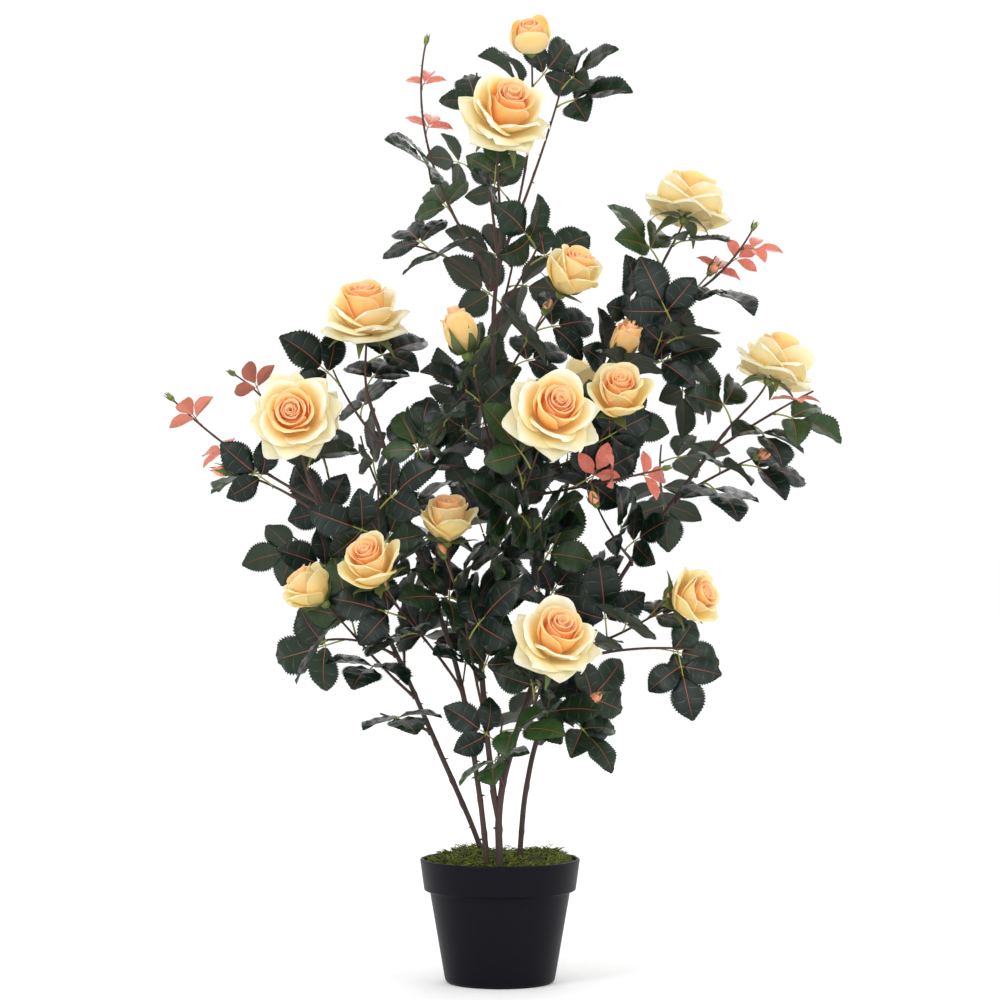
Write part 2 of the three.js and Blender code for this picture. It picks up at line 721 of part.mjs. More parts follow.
// The sprays of a shoot, by the seeded rule. Each is tried at several turns round the shoot and
// takes the roomiest of them, and one that has no room at any turn is left out.
function spraysOf(name, shoot, curve) {
  const random = dice(shoot.seed);
  const phase = random() * 2 * Math.PI;
  const frames = curve.computeFrenetFrames(40, false);
  const last = shoot.rose ? 0.7 : 0.9; // below a rose the stem is bare
  const sprays = [];
  for (let i = 0; i < shoot.leaves; i++) {
    const share = shoot.first + ((last - shoot.first) * (i + 0.5)) / shoot.leaves;
    const foot = curve.getPointAt(share);
    const frame = Math.round(share * 40);
    const isRed = i >= shoot.leaves - (shoot.red ?? 0);
    const scale = (isRed ? RED_LEAF_SCALE : 1) * (0.88 + 0.26 * random());
    const roll = (random() - 0.5) * 1.5;
    const pitch = STALK_PITCH + (random() - 0.5) * 0.5;
    let best = { room: 0 };
    for (let turn = 0; turn < TURNS_TRIED; turn++) {
      const angle = phase + GOLDEN_ANGLE * (i + turn);
      const lean = pitch + 0.3 * Math.sin(turn * 2.2);
      const out = frames.normals[frame]
        .clone()
        .multiplyScalar(Math.cos(angle))
        .addScaledVector(frames.binormals[frame], Math.sin(angle))
        .multiplyScalar(Math.sin(lean))
        .addScaledVector(frames.tangents[frame], Math.cos(lean))
        .addScaledVector(UP, 0.18)
        .normalize();
      const spray = layOutSpray(foot, out, roll, scale);
      const balls = spray.leaflets.flatMap(leafletBalls);
      const stalkBalls = [0.35, 0.6, 0.85, 1].map((s) => ({
        at: spray.stalk[0].clone().lerp(spray.stalk[1], s),
        radius: STALK_BALL,
      }));
      const room = Math.min(roomAround(balls), ENOUGH_ROOM - turn);
      if (room > best.room && roomAround(stalkBalls, name) > 0)
        best = { room, spray, balls: [...balls, ...stalkBalls] };
    }
    if (!best.spray) continue;
    taken.push(...best.balls.map((ball) => ({ ...ball, owner: name })));
    sprays.push(best.spray);
  }
  return sprays;
}

// A small green bud on a stalk of its own, leaning away from the shoot's bend.
function sideBud(curve, share) {
  const foot = curve.getPointAt(share);
  const sideways = vec([Math.sign(foot.x), -0.6, 0]).multiplyScalar(0.45);
  const axis = curve.getTangentAt(share).add(UP).add(sideways).normalize();
  const tip = foot.clone().addScaledVector(axis, SIDE_BUD_STALK);
  const stalk = taperedTube(new THREE.LineCurve3(foot, tip), STALK_RADIUS * 1.2, STALK_RADIUS, 3, 1);
  return [stalk, flower("bud", SIDE_BUD_RADIUS, tip.clone().addScaledVector(axis, -1), axis)];
}

// A shoot's stem with its rose or buds.
function shootStem(curve, { rose, bud, sideBud: budShare }) {
  const steps = Math.max(4, Math.round(curve.getLength() / 36));
  const parts = [taperedTube(curve, SHOOT_FOOT_RADIUS, SHOOT_TIP_RADIUS, 3, steps)];
  const heading = curve.getTangentAt(1);
  const seat = curve.getPointAt(1).addScaledVector(heading, -1);
  if (rose) parts.push(flower(rose.form, rose.size, seat, vec(rose.faces).normalize()));
  if (bud) parts.push(flower("bud", bud, seat, heading));
  if (budShare) parts.push(...sideBud(curve, budShare));
  return wasm.Manifold.union(parts);
}

// Keeps the space of a shoot's stem and of the flower on it.
function keepStemSpace(name, curve, { rose, bud }) {
  ballsAlong(curve, SHOOT_FOOT_RADIUS + 1.5, 5, name);
  const tip = curve.getPointAt(1);
  if (rose) {
    const height = FLOWERS[rose.form].profile.at(-1)[1] * rose.size;
    const at = tip.clone().addScaledVector(vec(rose.faces).normalize(), height * 0.55);
    taken.push({ at, radius: rose.size * 0.98, owner: name });
  }
  if (bud) {
    const at = tip.clone().addScaledVector(curve.getTangentAt(1), bud * 1.3);
    taken.push({ at, radius: bud * 1.3, owner: name });
  }
}

function leafyShoot(name, shoot, curve, stem) {
  const sprays = spraysOf(name, shoot, curve).map(spraySolid);
  const clear = sprays.filter((spray) => !runsInto(name, spray));
  return biggestPiece(wasm.Manifold.union([stem, ...clear]));
}

const canes = {};
for (const [name, cane] of Object.entries(CANES)) {
  const curve = caneCurve(cane);
  canes[name] = { curve, radius: cane.radius };
  ballsAlong(curve, cane.radius[0] + 1, 9, name);
}

addPiece("pot", makePot(), POT_PLASTIC);
let filling = makeFilling();
for (const { curve, radius } of Object.values(canes))
  filling = filling.subtract(taperedTube(curve, radius[0] + GAP, radius[1] + GAP, CANE_SIDES, CANE_STEPS));
addPiece("moss_filling", biggestPiece(filling), MOSS);

for (const [name, { curve, radius }] of Object.entries(canes))
  addPiece(name, taperedTube(curve, radius[0], radius[1], CANE_SIDES, CANE_STEPS), BARK);

const stems = {};
for (const [name, shoot] of Object.entries(SHOOTS)) {
  const curve = shootCurve(shoot, canes);
  const solid = shootStem(curve, shoot);
  stems[name] = { curve, solid };
  keepStemSpace(name, curve, shoot);
  keepSpace(name, solid);
}
for (const [name, { curve, solid }] of Object.entries(stems))
  addPiece(name, leafyShoot(name, SHOOTS[name], curve, solid), SHOOTS[name].rose ? PETAL : LEAF);

export default group;
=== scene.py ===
"""The looks of a potted artificial rose bush, 1.15 m tall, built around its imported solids.

The plant grows by the same seeded rule as the solids, carried on to finer twigs. Lengths are in
millimetres until a mesh is made, +Z is up, and the front faces -Y.
"""

import functools
import math

import bpy
import numpy as np
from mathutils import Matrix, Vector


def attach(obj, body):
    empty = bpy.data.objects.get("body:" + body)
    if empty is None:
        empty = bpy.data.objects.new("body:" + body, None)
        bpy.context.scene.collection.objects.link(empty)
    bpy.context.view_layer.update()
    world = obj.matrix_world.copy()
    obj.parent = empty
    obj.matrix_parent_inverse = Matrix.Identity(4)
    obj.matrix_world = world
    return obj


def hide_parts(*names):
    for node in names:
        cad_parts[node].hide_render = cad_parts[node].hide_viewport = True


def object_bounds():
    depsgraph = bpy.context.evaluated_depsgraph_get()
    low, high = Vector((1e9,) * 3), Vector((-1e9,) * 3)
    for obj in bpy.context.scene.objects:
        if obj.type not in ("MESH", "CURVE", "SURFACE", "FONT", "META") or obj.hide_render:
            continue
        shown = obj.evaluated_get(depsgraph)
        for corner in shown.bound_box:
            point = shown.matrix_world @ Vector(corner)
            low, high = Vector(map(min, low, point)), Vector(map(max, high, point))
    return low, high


bl_info = {
    "name": "Potted Rose Bush",
    "version": (1, 0, 0),
    "blender": (4, 5, 0),
    "location": "3D View > Sidebar > Rose Bush",
    "description": "Pot, moss, canes, leaves and roses of an artificial rose bush",
    "category": "Add Mesh",
}

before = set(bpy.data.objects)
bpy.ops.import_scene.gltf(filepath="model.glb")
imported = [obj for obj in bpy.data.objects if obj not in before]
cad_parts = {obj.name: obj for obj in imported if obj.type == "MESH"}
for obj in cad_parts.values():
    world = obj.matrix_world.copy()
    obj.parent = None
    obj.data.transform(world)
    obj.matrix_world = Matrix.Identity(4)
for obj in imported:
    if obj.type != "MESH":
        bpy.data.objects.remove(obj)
CAD_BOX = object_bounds()

MM = 0.001
UP = np.array([0.0, 0.0, 1.0])
FRONT = np.array([0.0, -1.0, 0.0])
GOLDEN_ANGLE = math.pi * (3 - math.sqrt(5))
GAP = 0.3  # between a cane and a shoot
ROUND = 6.28  # radians, a full turn for anything that is turned by chance

# ---- pot and its filling
POT_HEIGHT = 147
POT_WALL = 2.6
FOOT_RADIUS = 58
BODY_LOW_RADIUS = 66
BODY_TOP_RADIUS = 83
BAND_LOW_RADIUS = 90
BAND_TOP_RADIUS = 95
BAND_FOOT = 111
CANE_FOOT = 100

# ---- shoots and sprays
LEAFLET_LENGTH = 56
LEAFLET_WIDTH = 39
STALK_LENGTH = 34
STALK_PITCH = 0.95
LEAFLET_DIP = 0.22
SIDE_LEAFLET_TURN = 1.12
SIDE_LEAFLET_AT = 0.68
SIDE_LEAFLET_DIP = 0.12
SIDE_LEAFLET_SCALE = 0.86
MIDDLE_Y = 40  # leaves and roses behind it turn to the back
RED_LEAF_SCALE = 0.6
SHOOT_RADII = (1.9, 1.1)  # at its foot and at its tip
SIDE_BUD_STALK = 34
SIDE_BUD_RADIUS = 7
LEAF_BALL = 4.6  # the space that a spot of a leaf needs about it
STALK_BALL = 2.2
TURNS_TRIED = 12
ENOUGH_ROOM = 16  # more room than this counts for nothing
FRAME_COUNT = 40

# ---- canes
# Each cane's radius at its foot and at its tip, the height above which it bears fine twigs, and the
# points that it runs through, foot first.
CANES = {
    "cane_left_outer": ((3.4, 2.2), 340, (
        (-4, 18, CANE_FOOT), (-27, 14, 168), (-83, 2, 299), (-127, -14, 399), (-184, -42, 508),
        (-221, -62, 590))),
    "cane_left_inner": ((3.6, 2.2), 330, (
        (-11, -33, CANE_FOOT), (-23, -34, 216), (-46, -30, 354), (-82, -22, 470), (-130, -12, 614),
        (-155, -8, 690))),
    "cane_middle": ((4.6, 2.4), 270, (
        (1, -42, CANE_FOOT), (0, -42, 216), (16, -24, 286), (44, 12, 372), (62, 72, 490), (84, 128, 600))),
    "cane_tall": ((3.6, 2.4), 330, (
        (-7, -40, 222), (-19, -28, 335), (-22, -20, 420), (-2, -12, 540), (-5, -5, 650), (-8, 0, 780),
        (0, -1, 874))),
    "cane_right": ((3.4, 2.2), 330, (
        (20, 5, CANE_FOOT), (32, 5, 235), (54, 5, 316), (104, 8, 414), (170, 10, 520), (236, 6, 611),
        (266, 4, 650))),
    "cane_right_high": ((2.6, 2.1), 560, (
        (6, -5, 548), (42, 24, 600), (104, 42, 664), (162, 34, 726), (178, 26, 790), (188, 20, 836))),
}

# The fork where the tall cane grows out of the middle one.
FORK = ((0, -42, 176), (-1, -42, 190), (-3.4, -41.4, 206), (-6.2, -40.4, 220), (-8.6, -39, 232))
FORK_RADII = (1.6, 3.2, 3.8, 3.9, 3.7)


def unit(v):
    v = np.asarray(v, float)
    return v / np.linalg.norm(v)


def rose_shoot(form, cane, height, at, faces, size, bow, leaves, first, seed, side_bud=None):
    """A shoot that ends in a rose: `at` is its middle, `faces` the way it opens, `size` its radius."""
    shoot = leafy_shoot(cane, height, at, bow, leaves, first, seed, 0, 0, side_bud)
    return {**shoot, "form": form, "at": np.array(at, float), "faces": unit(faces), "size": size}


def leafy_shoot(cane, height, to, bow, leaves, first, seed, red=0, bud=0, side_bud=None):
    """A shoot that ends in leaves or in a bud of the radius `bud`. Its last `red` sprays are young.

    It leaves its cane at `height`, or goes on from the cane's tip where that is None, and `bow` bends
    it aside. Its sprays start at the share `first` of its length, and a small bud sits at `side_bud`.
    """
    return {
        "cane": f"cane_{cane}", "height": height, "form": None, "to": np.array(to, float),
        "bow": np.array(bow, float), "leaves": leaves, "first": first, "seed": seed, "red": red,
        "bud": bud, "side_bud": side_bud,
    }


# The rows of these three tables hold the arguments of rose_shoot after its form, and of leafy_shoot.
OPEN_ROSES = {
    "top": ("tall", None, (9, -40, 1034), (0.24, -0.72, 0.62), 57, (0, 0, 0), 2, 0, 1),
    "left_high": ("left_inner", None, (-160, -18, 800), (-0.04, -0.42, 0.9), 54, (0, 0, 0), 2, 0, 2),
    "left": ("left_outer", None, (-239, -112, 672), (-0.06, -0.95, 0.18), 54, (0, 0, 0), 2, 0, 3),
    "right_high": ("right_high", None, (227, 20, 936), (0.24, 0.26, 0.93), 53, (0, 0, 0), 2, 0, 4),
    "right": ("right", None, (330, 2, 742), (0.38, 0.18, 0.9), 51, (0, 0, 0), 2, 0, 5),
    "back_right": ("middle", None, (116, 206, 706), (0.3, 0.85, 0.42), 52, (0, 0, 0), 2, 0.1, 6),
    "middle": ("tall", 520, (64, -160, 677), (0.22, -0.85, 0.42), 56, (0, -10, -30), 3, 0.2, 7),
    "low": ("middle", 300, (66, -165, 420), (0.22, -0.74, 0.6), 53, (4, -20, -26), 3, 0.2, 8),
    "back_left": ("left_outer", 500, (-246, 168, 676), (-0.45, 0.85, 0.3), 50, (6, 20, -20), 3, 0.2, 9),
}
HALF_OPEN_ROSES = {
    "upper": ("tall", 690, (87, -62, 843), (0.42, -0.42, 0.8), 34, (-10, -6, 6), 3, 0.2, 10, 0.55),
    "half_hidden": ("right_high", 610, (138, -92, 700), (0.1, -0.7, 0.7), 36, (10, -20, -24), 3, 0.2, 11),
    "inner": ("tall", 400, (-61, -70, 556), (0.02, -0.36, 0.93), 34, (-8, -16, -10), 3, 0.2, 12, 0.6),
    "left_mid": ("left_inner", 352, (-151, -116, 503), (-0.28, -0.66, 0.7), 36, (6, -16, 2), 3, 0.3, 13, 0.7),
    "left_low": ("left_outer", 343, (-226, -82, 474), (-0.7, -0.15, 0.7), 30, (-2, -12, -8), 3, 0.3, 14),
    "right_low": ("right", 398, (228, -96, 461), (0.72, -0.62, 0.32), 33, (2, -20, -10), 3, 0.2, 15, 0.7),
    "back_low": ("middle", 300, (72, 184, 408), (0.35, 0.8, 0.5), 35, (0, 14, -20), 3, 0.2, 16),
}
LEAFY_SHOOTS = {
    "bud_top": ("tall", 848, (37, 10, 1108), (22, 72, 0), 3, 0.76, 17, 0, 18),
    "bud_middle": ("tall", 590, (-39, -74, 744), (2, -24, 6), 4, 0.2, 18, 0, 20),
    "bud_right": ("right_high", 665, (138, -26, 742), (-2, -8, 0), 3, 0.2, 19, 0, 18),
    "tip_high_left": ("tall", 836, (-88, -10, 1112), (-52, -4, -4), 4, 0.2, 88, 2, 4),
    "tip_left": ("left_outer", 572, (-386, -20, 690), (-4, 12, -14), 3, 0.2, 79, 2, 4),
    "tip_right": ("right_high", 800, (299, -8, 892), (10, 0, -26), 4, 0.3, 70, 3, 4, 0.3),
    "tip_left_back": ("left_outer", 530, (-322, 90, 724), (10, 26, 36), 4, 0.25, 60, 2, 4),
    "tip_middle": ("right_high", 575, (188, -104, 608), (-6, -26, -4), 4, 0.3, 60, 3, 4),
    "spray_top_left": ("tall", 864, (-28, 22, 1082), (-2, 40, 0), 2, 0.7, 64),
    "spray_top_right": ("tall", 858, (80, -2, 1090), (12, 44, 10), 2, 0.74, 26),
    "spray_neck_left": ("tall", 824, (-104, -30, 872), (-4, -6, 12), 2, 0.5, 27),
    "spray_neck_right": ("tall", 790, (52, -40, 886), (4, 8, -4), 2, 0.5, 28),
    "spray_neck_back": ("tall", 760, (20, 90, 880), (0, 8, -8), 3, 0.3, 29),
    "spray_left_crown": ("left_inner", 640, (-200, 36, 728), (-6, 0, -6), 3, 0.25, 30),
    "spray_left_gap": ("left_inner", 575, (-66, -72, 670), (6, -12, -12), 4, 0.2, 31),
    "spray_left_inner": ("left_inner", 505, (-170, 110, 650), (-14, 10, 0), 4, 0.2, 32),
    "spray_left_arm": ("left_outer", 552, (-316, -50, 604), (0, 6, 12), 2, 0.45, 33, 0, 8),
    "spray_left_flank": ("left_outer", 462, (-250, 60, 528), (0, 12, 0), 3, 0.25, 34),
    "spray_left_middle": ("left_outer", 425, (-142, -74, 592), (0, -10, -6), 4, 0.2, 35),
    "spray_left_droop": ("left_outer", 392, (-222, -66, 404), (0, -10, 16), 2, 0.5, 36),
    "spray_low_left": ("left_outer", 300, (-140, -56, 322), (4, -4, -2), 1, 0.7, 37),
    "spray_low_back": ("left_outer", 370, (-118, 128, 470), (0, 12, -6), 3, 0.3, 38),
    "spray_low_front": ("middle", 238, (4, -118, 322), (-8, -6, -14), 3, 0.4, 39),
    "spray_low_centre": ("tall", 318, (-40, -100, 430), (0, -6, -10), 4, 0.3, 40),
    "spray_low_right": ("right", 300, (104, -56, 334), (0, -8, -6), 3, 0.3, 41, 0, 8),
    "spray_right_droop": ("right", 385, (236, -56, 396), (0, -8, 10), 2, 0.55, 42),
    "spray_centre": ("middle", 420, (36, -66, 560), (0, -10, -10), 5, 0.1, 43),
    "spray_centre_back": ("tall", 500, (10, 130, 600), (0, 14, -10), 4, 0.25, 44),
    "spray_right_front": ("right", 500, (112, -92, 566), (-4, -14, -4), 4, 0.1, 45, 0, 8),
    "spray_right_arm": ("right", 575, (300, -44, 622), (0, -10, 4), 3, 0.25, 46, 0, 8),
    "spray_right_tip": ("right", 632, (368, -44, 700), (2, -6, 4), 3, 0.3, 68, 1),
    "spray_right_crown": ("right_high", 725, (256, 62, 706), (6, 8, 14), 3, 0.2, 48),
    "spray_right_face": ("right_high", 700, (218, -50, 792), (6, -10, -6), 4, 0.25, 49),
    "spray_right_top": ("right_high", 760, (128, -22, 800), (0, -10, 6), 2, 0.4, 50),
    "spray_right_back": ("right", 560, (200, 178, 640), (-6, 14, -10), 3, 0.25, 51),
    "spray_high_back": ("tall", 640, (-40, 150, 758), (0, 18, -14), 4, 0.25, 52, 0, 16),
}
SHOOTS = {f"rose_{name}": rose_shoot("open", *row) for name, row in OPEN_ROSES.items()}
SHOOTS.update({f"rose_{name}": rose_shoot("cup", *row) for name, row in HALF_OPEN_ROSES.items()})
SHOOTS.update({name: leafy_shoot(*row) for name, row in LEAFY_SHOOTS.items()})

# The straight length under a rose; how far its seat lies below its middle, and its height, in shares
# of its size.
ROSE_NECK = 34
SEAT_DEPTH = {"open": 0.56, "cup": 0.95}
FLOWER_HEIGHT = {"open": 0.92, "cup": 1.7}

# Finer twigs that the solids leave out: the space that a leaf of theirs needs, how far they stay
# inside the solids' box, where the crown and its neck are full, and the spacing of the twigs' feet.
FINE_LEAF_BALL = 2.6
BOX_MARGIN = 4
MOST_FULL = 0.8
CROWN_MIDDLE = np.array([8, 20, 560])
CROWN_REACH = np.array([215, 190, 270])
NECK_MIDDLE = np.array([4, 10, 945])
NECK_REACH = np.array([90, 80, 95])
SHOOT_TWIG_SPACING = 75
TOP_TWIG_SPACING = 34
TOP_SHOOT_FROM = 836
CANE_TWIG_SPACING = 34


# ---- curves
def dice(seed):
    """The same run of numbers from 0 to 1 for the same seed."""
    state = (seed * 2654435761) % 2**32

    def roll():
        nonlocal state
        state = (state * 1664525 + 1013904223) % 2**32
        return state / 2**32

    return roll


def turned_about(v, axis, angle):
    cosine, sine = math.cos(angle), math.sin(angle)
    return v * cosine + np.cross(axis, v) * sine + axis * axis.dot(v) * (1 - cosine)


def lerp(a, b, share):
    return a + (b - a) * share


class Course:
    """A space curve that is measured by shares of its length."""

    def __init__(self, point_at_step):
        self.point_at_step = point_at_step
        self.steps = np.linspace(0, 1, 201)
        path = np.array([point_at_step(step) for step in self.steps])
        lengths = np.concatenate([[0], np.cumsum(np.linalg.norm(np.diff(path, axis=0), axis=1))])
        self.length = lengths[-1]
        self.shares = lengths / lengths[-1]

    def step_at(self, share):
        return float(np.interp(share, self.shares, self.steps))

    def at(self, share):
        return self.point_at_step(self.step_at(share))

    def heading(self, share):
        step = self.step_at(share)
        return unit(self.point_at_step(min(1, step + 1e-4)) - self.point_at_step(max(0, step - 1e-4)))

    def frames(self, count):
        """Tangent, normal and binormal at even shares, turned as little as possible on the way."""
        tangents = [self.heading(i / count) for i in range(count + 1)]
        sizes = np.abs(tangents[0])
        flattest = max(k for k in range(3) if sizes[k] == sizes.min())
        across = unit(np.cross(tangents[0], np.eye(3)[flattest]))
        normals = [np.cross(tangents[0], across)]
        for before, after in zip(tangents, tangents[1:]):
            axis = np.cross(before, after)
            if np.linalg.norm(axis) < 1e-12:
                normals.append(normals[-1])
                continue
            angle = math.acos(max(-1.0, min(1.0, float(before.dot(after)))))
            normals.append(turned_about(normals[-1], unit(axis), angle))
        return [(t, n, np.cross(t, n)) for t, n in zip(tangents, normals)]


def bezier(a, b, c, d):
    return Course(lambda t: a * (1 - t) ** 3 + b * 3 * t * (1 - t) ** 2 + c * 3 * t * t * (1 - t) + d * t**3)


def spline_through(via):
    """A centripetal Catmull-Rom curve."""
    via = np.array(via, float)
    ends = [2 * via[0] - via[1], *via, 2 * via[-1] - via[-2]]

    def point(t):
        at = t * (len(via) - 1)
        k = min(int(at), len(via) - 2)
        p0, p1, p2, p3 = ends[k : k + 4]
        d0, d1, d2 = (np.linalg.norm(q - p) ** 0.5 for p, q in ((p0, p1), (p1, p2), (p2, p3)))
        t1 = ((p1 - p0) / d0 - (p2 - p0) / (d0 + d1) + (p2 - p1) / d1) * d1
        t2 = ((p2 - p1) / d1 - (p3 - p1) / (d1 + d2) + (p3 - p2) / d2) * d1
        s = at - k
        return p1 + t1 * s + (3 * (p2 - p1) - 2 * t1 - t2) * s**2 + (2 * (p1 - p2) + t1 + t2) * s**3

    return Course(point)


# ---- growth
class Space:
    """Balls of space that are in use, each with its owner's name."""

    def __init__(self):
        self.at = np.zeros((0, 3))
        self.radius = np.zeros(0)
        self.owner = np.zeros(0, dtype=object)

    def keep(self, at, radius, owner):
        at = np.atleast_2d(at)
        self.at = np.vstack([self.at, at])
        self.radius = np.concatenate([self.radius, np.full(len(at), float(radius))])
        self.owner = np.concatenate([self.owner, np.full(len(at), owner, dtype=object)])

    def keep_along(self, course, radius, spacing, owner):
        count = math.ceil(course.length / spacing)
        self.keep([course.at(i / count) for i in range(count + 1)], radius, owner)

    def room(self, at, radius, ignored=None):
        """The narrowest gap between some balls and the space in use, apart from one owner's."""
        counted = self.owner != ignored
        gaps = np.linalg.norm(self.at[counted][None] - at[:, None], axis=2) - self.radius[counted][None]
        return float(gaps.min()) - radius


LEAFLET_SPOTS = np.array(
    [[0.22, 0.2], [0.22, -0.2], [0.48, 0.36], [0.48, 0], [0.48, -0.36], [0.75, 0.2], [0.75, -0.2], [0.96, 0]])


def leaflet_spots(leaflet):
    across = np.cross(leaflet["normal"], leaflet["along"])
    length = LEAFLET_SPOTS[:, :1] * leaflet["length"] * leaflet["along"]
    return leaflet["root"] + length + LEAFLET_SPOTS[:, 1:] * leaflet["width"] * across


def lay_out_spray(foot, out, roll, scale):
    """One spray: a stalk and its three leaflets."""
    outward = unit(foot * [1, 1, 0])
    side = 0.6 if foot[1] < MIDDLE_Y else -0.6
    towards = UP * 0.5 + outward * 0.4 + FRONT * side
    normal = turned_about(unit(towards - out * towards.dot(out)), out, roll)
    end = foot + out * STALK_LENGTH * scale
    side_root = lerp(foot, end, SIDE_LEAFLET_AT)

    def leaflet(root, turn, dip, size):
        along = turned_about(out, normal, turn)
        across = np.cross(normal, along)
        along = turned_about(along, across, dip)
        return {
            "root": root, "along": along, "normal": unit(np.cross(along, across)),
            "length": LEAFLET_LENGTH * size, "width": LEAFLET_WIDTH * size,
        }

    return {
        "foot": foot, "end": end, "out": out, "normal": normal, "scale": scale,
        "leaflets": [
            leaflet(end, 0, LEAFLET_DIP, scale),
            leaflet(side_root, SIDE_LEAFLET_TURN, SIDE_LEAFLET_DIP, scale * SIDE_LEAFLET_SCALE),
            leaflet(side_root, -SIDE_LEAFLET_TURN, SIDE_LEAFLET_DIP, scale * SIDE_LEAFLET_SCALE),
        ],
    }


def spray_turns(foot, axes, phase, pitch, twig):
    """The ways out of a stem at which a spray is tried, with the foot of its stalk."""
    tangent, normal, binormal = axes
    for turn in range(TURNS_TRIED):
        angle = phase + GOLDEN_ANGLE * turn
        lean = pitch + 0.3 * math.sin(turn * 2.2)
        sideways = (normal * math.cos(angle) + binormal * math.sin(angle)) * math.sin(lean)
        out = unit(sideways + tangent * math.cos(lean) + UP * 0.18)
        yield turn, out, foot + out * twig


def roomiest_spray(space, owner, turns, roll, scale, leaf_ball, fits):
    """The spray with the most room about its leaves, or None."""
    best_room, best = 0.0, None
    for turn, out, foot in turns:
        spray = lay_out_spray(foot, out, roll, scale)
        spots = np.vstack([leaflet_spots(leaflet) for leaflet in spray["leaflets"]])
        if not fits(spots):
            continue
        room = min(space.room(spots, leaf_ball), ENOUGH_ROOM - turn)
        if room <= best_room:
            continue
        stalk = np.array([lerp(spray["foot"], spray["end"], s) for s in (0.35, 0.6, 0.85, 1)])
        if space.room(stalk, STALK_BALL, owner) > 0:
            best_room, best = room, (spray, spots, stalk)
    if best is None:
        return None
    spray, spots, stalk = best
    space.keep(spots, leaf_ball, owner)
    space.keep(stalk, STALK_BALL, owner)
    return spray


def shoot_course(shoot, canes):
    """A shoot's curve, from just beyond its cane's tip or beside its cane's surface."""
    course, radius = canes[shoot["cane"]]
    end = shoot["to"]
    if shoot["form"]:
        end = shoot["at"] - shoot["faces"] * SEAT_DEPTH[shoot["form"]] * shoot["size"]
    if shoot["height"] is None:
        heading = course.heading(1)
        start = course.at(1) + heading * GAP
        reach = np.linalg.norm(end - start) / 3
        return bezier(start, start + heading * reach, end - shoot["faces"] * reach, end)
    share = 0.0
    while share < 1 and course.at(share)[2] < shoot["height"]:
        share += 0.002
    on_axis = course.at(share)
    thickness = radius[0] + (radius[1] - radius[0]) * share
    knee = lerp(on_axis, end, 0.4) + shoot["bow"]
    if shoot["form"]:
        neck = end - shoot["faces"] * ROSE_NECK
    else:
        neck = lerp(on_axis, end, 0.75) + shoot["bow"] * 0.7
    heading = unit(knee - on_axis)
    tangent = course.heading(share)
    sideways = unit(heading - tangent * heading.dot(tangent))
    return bezier(on_axis + sideways * (thickness + GAP + SHOOT_RADII[0]), knee, neck, end)


def anywhere(spots):
    """True, for the sprays that the solids have too."""
    return True


def inside_box(spots):
    """True where a leaf stays inside the solids' own box."""
    low, high = (np.array(corner) / MM for corner in CAD_BOX)
    return bool((spots > low + BOX_MARGIN).all() and (spots < high - BOX_MARGIN).all())


@functools.cache
def plant():
    """Canes, shoots and sprays by the same rule as the solids, then the finer twigs between them."""
    space = Space()
    canes = {name: (spline_through(via), radii) for name, (radii, _, via) in CANES.items()}
    for name, (course, radii) in canes.items():
        space.keep_along(course, radii[0] + 1, 9, name)
    courses = {name: shoot_course(shoot, canes) for name, shoot in SHOOTS.items()}
    for name, shoot in SHOOTS.items():
        course = courses[name]
        space.keep_along(course, SHOOT_RADII[0] + 1.5, 5, name)
        tip = course.at(1)
        if shoot["form"]:
            height = FLOWER_HEIGHT[shoot["form"]] * shoot["size"]
            space.keep(tip + shoot["faces"] * height * 0.55, shoot["size"] * 0.98, name)
        if shoot["bud"]:
            space.keep(tip + course.heading(1) * shoot["bud"] * 1.3, shoot["bud"] * 1.3, name)
    sprays = []
    for name, shoot in SHOOTS.items():
        plans = solid_sprays(shoot)
        sprays += grown_sprays(space, name, courses[name], plans, LEAF_BALL, anywhere)
    for name, shoot in SHOOTS.items():
        if shoot["form"]:
            keep_in_view(space, name, shoot)
    for number, (name, (course, _)) in enumerate(canes.items()):
        plans = fine_sprays(course, 200 + number, CANE_TWIG_SPACING, CANES[name][1], 0.97)
        sprays += grown_sprays(space, name, course, plans, FINE_LEAF_BALL, inside_box)
    for name, shoot in SHOOTS.items():
        course = courses[name]
        last = 0.66 if shoot["form"] else 0.45 if shoot["red"] else 0.93
        spacing = TOP_TWIG_SPACING if course.at(0)[2] > TOP_SHOOT_FROM else SHOOT_TWIG_SPACING
        plans = fine_sprays(course, 300 + shoot["seed"], spacing, 0, last)
        sprays += grown_sprays(space, name, course, plans, FINE_LEAF_BALL, inside_box)
    return {"canes": canes, "courses": courses, "sprays": sprays}


def keep_in_view(space, name, shoot):
    """Keeps finer leaves from in front of a rose and of its face."""
    towards = FRONT if shoot["at"][1] < MIDDLE_Y else -FRONT
    for way in (shoot["faces"], towards, unit(shoot["faces"] + towards)):
        space.keep(shoot["at"] + way * shoot["size"] * 1.1, shoot["size"] * 0.75, name)


def fullness(at):
    """How likely the crown bears a finer twig somewhere: most in its middle, none at its outside."""
    away = (at - CROWN_MIDDLE) / CROWN_REACH
    above = (at - NECK_MIDDLE) / NECK_REACH
    return MOST_FULL - float(min(away.dot(away), above.dot(above)))


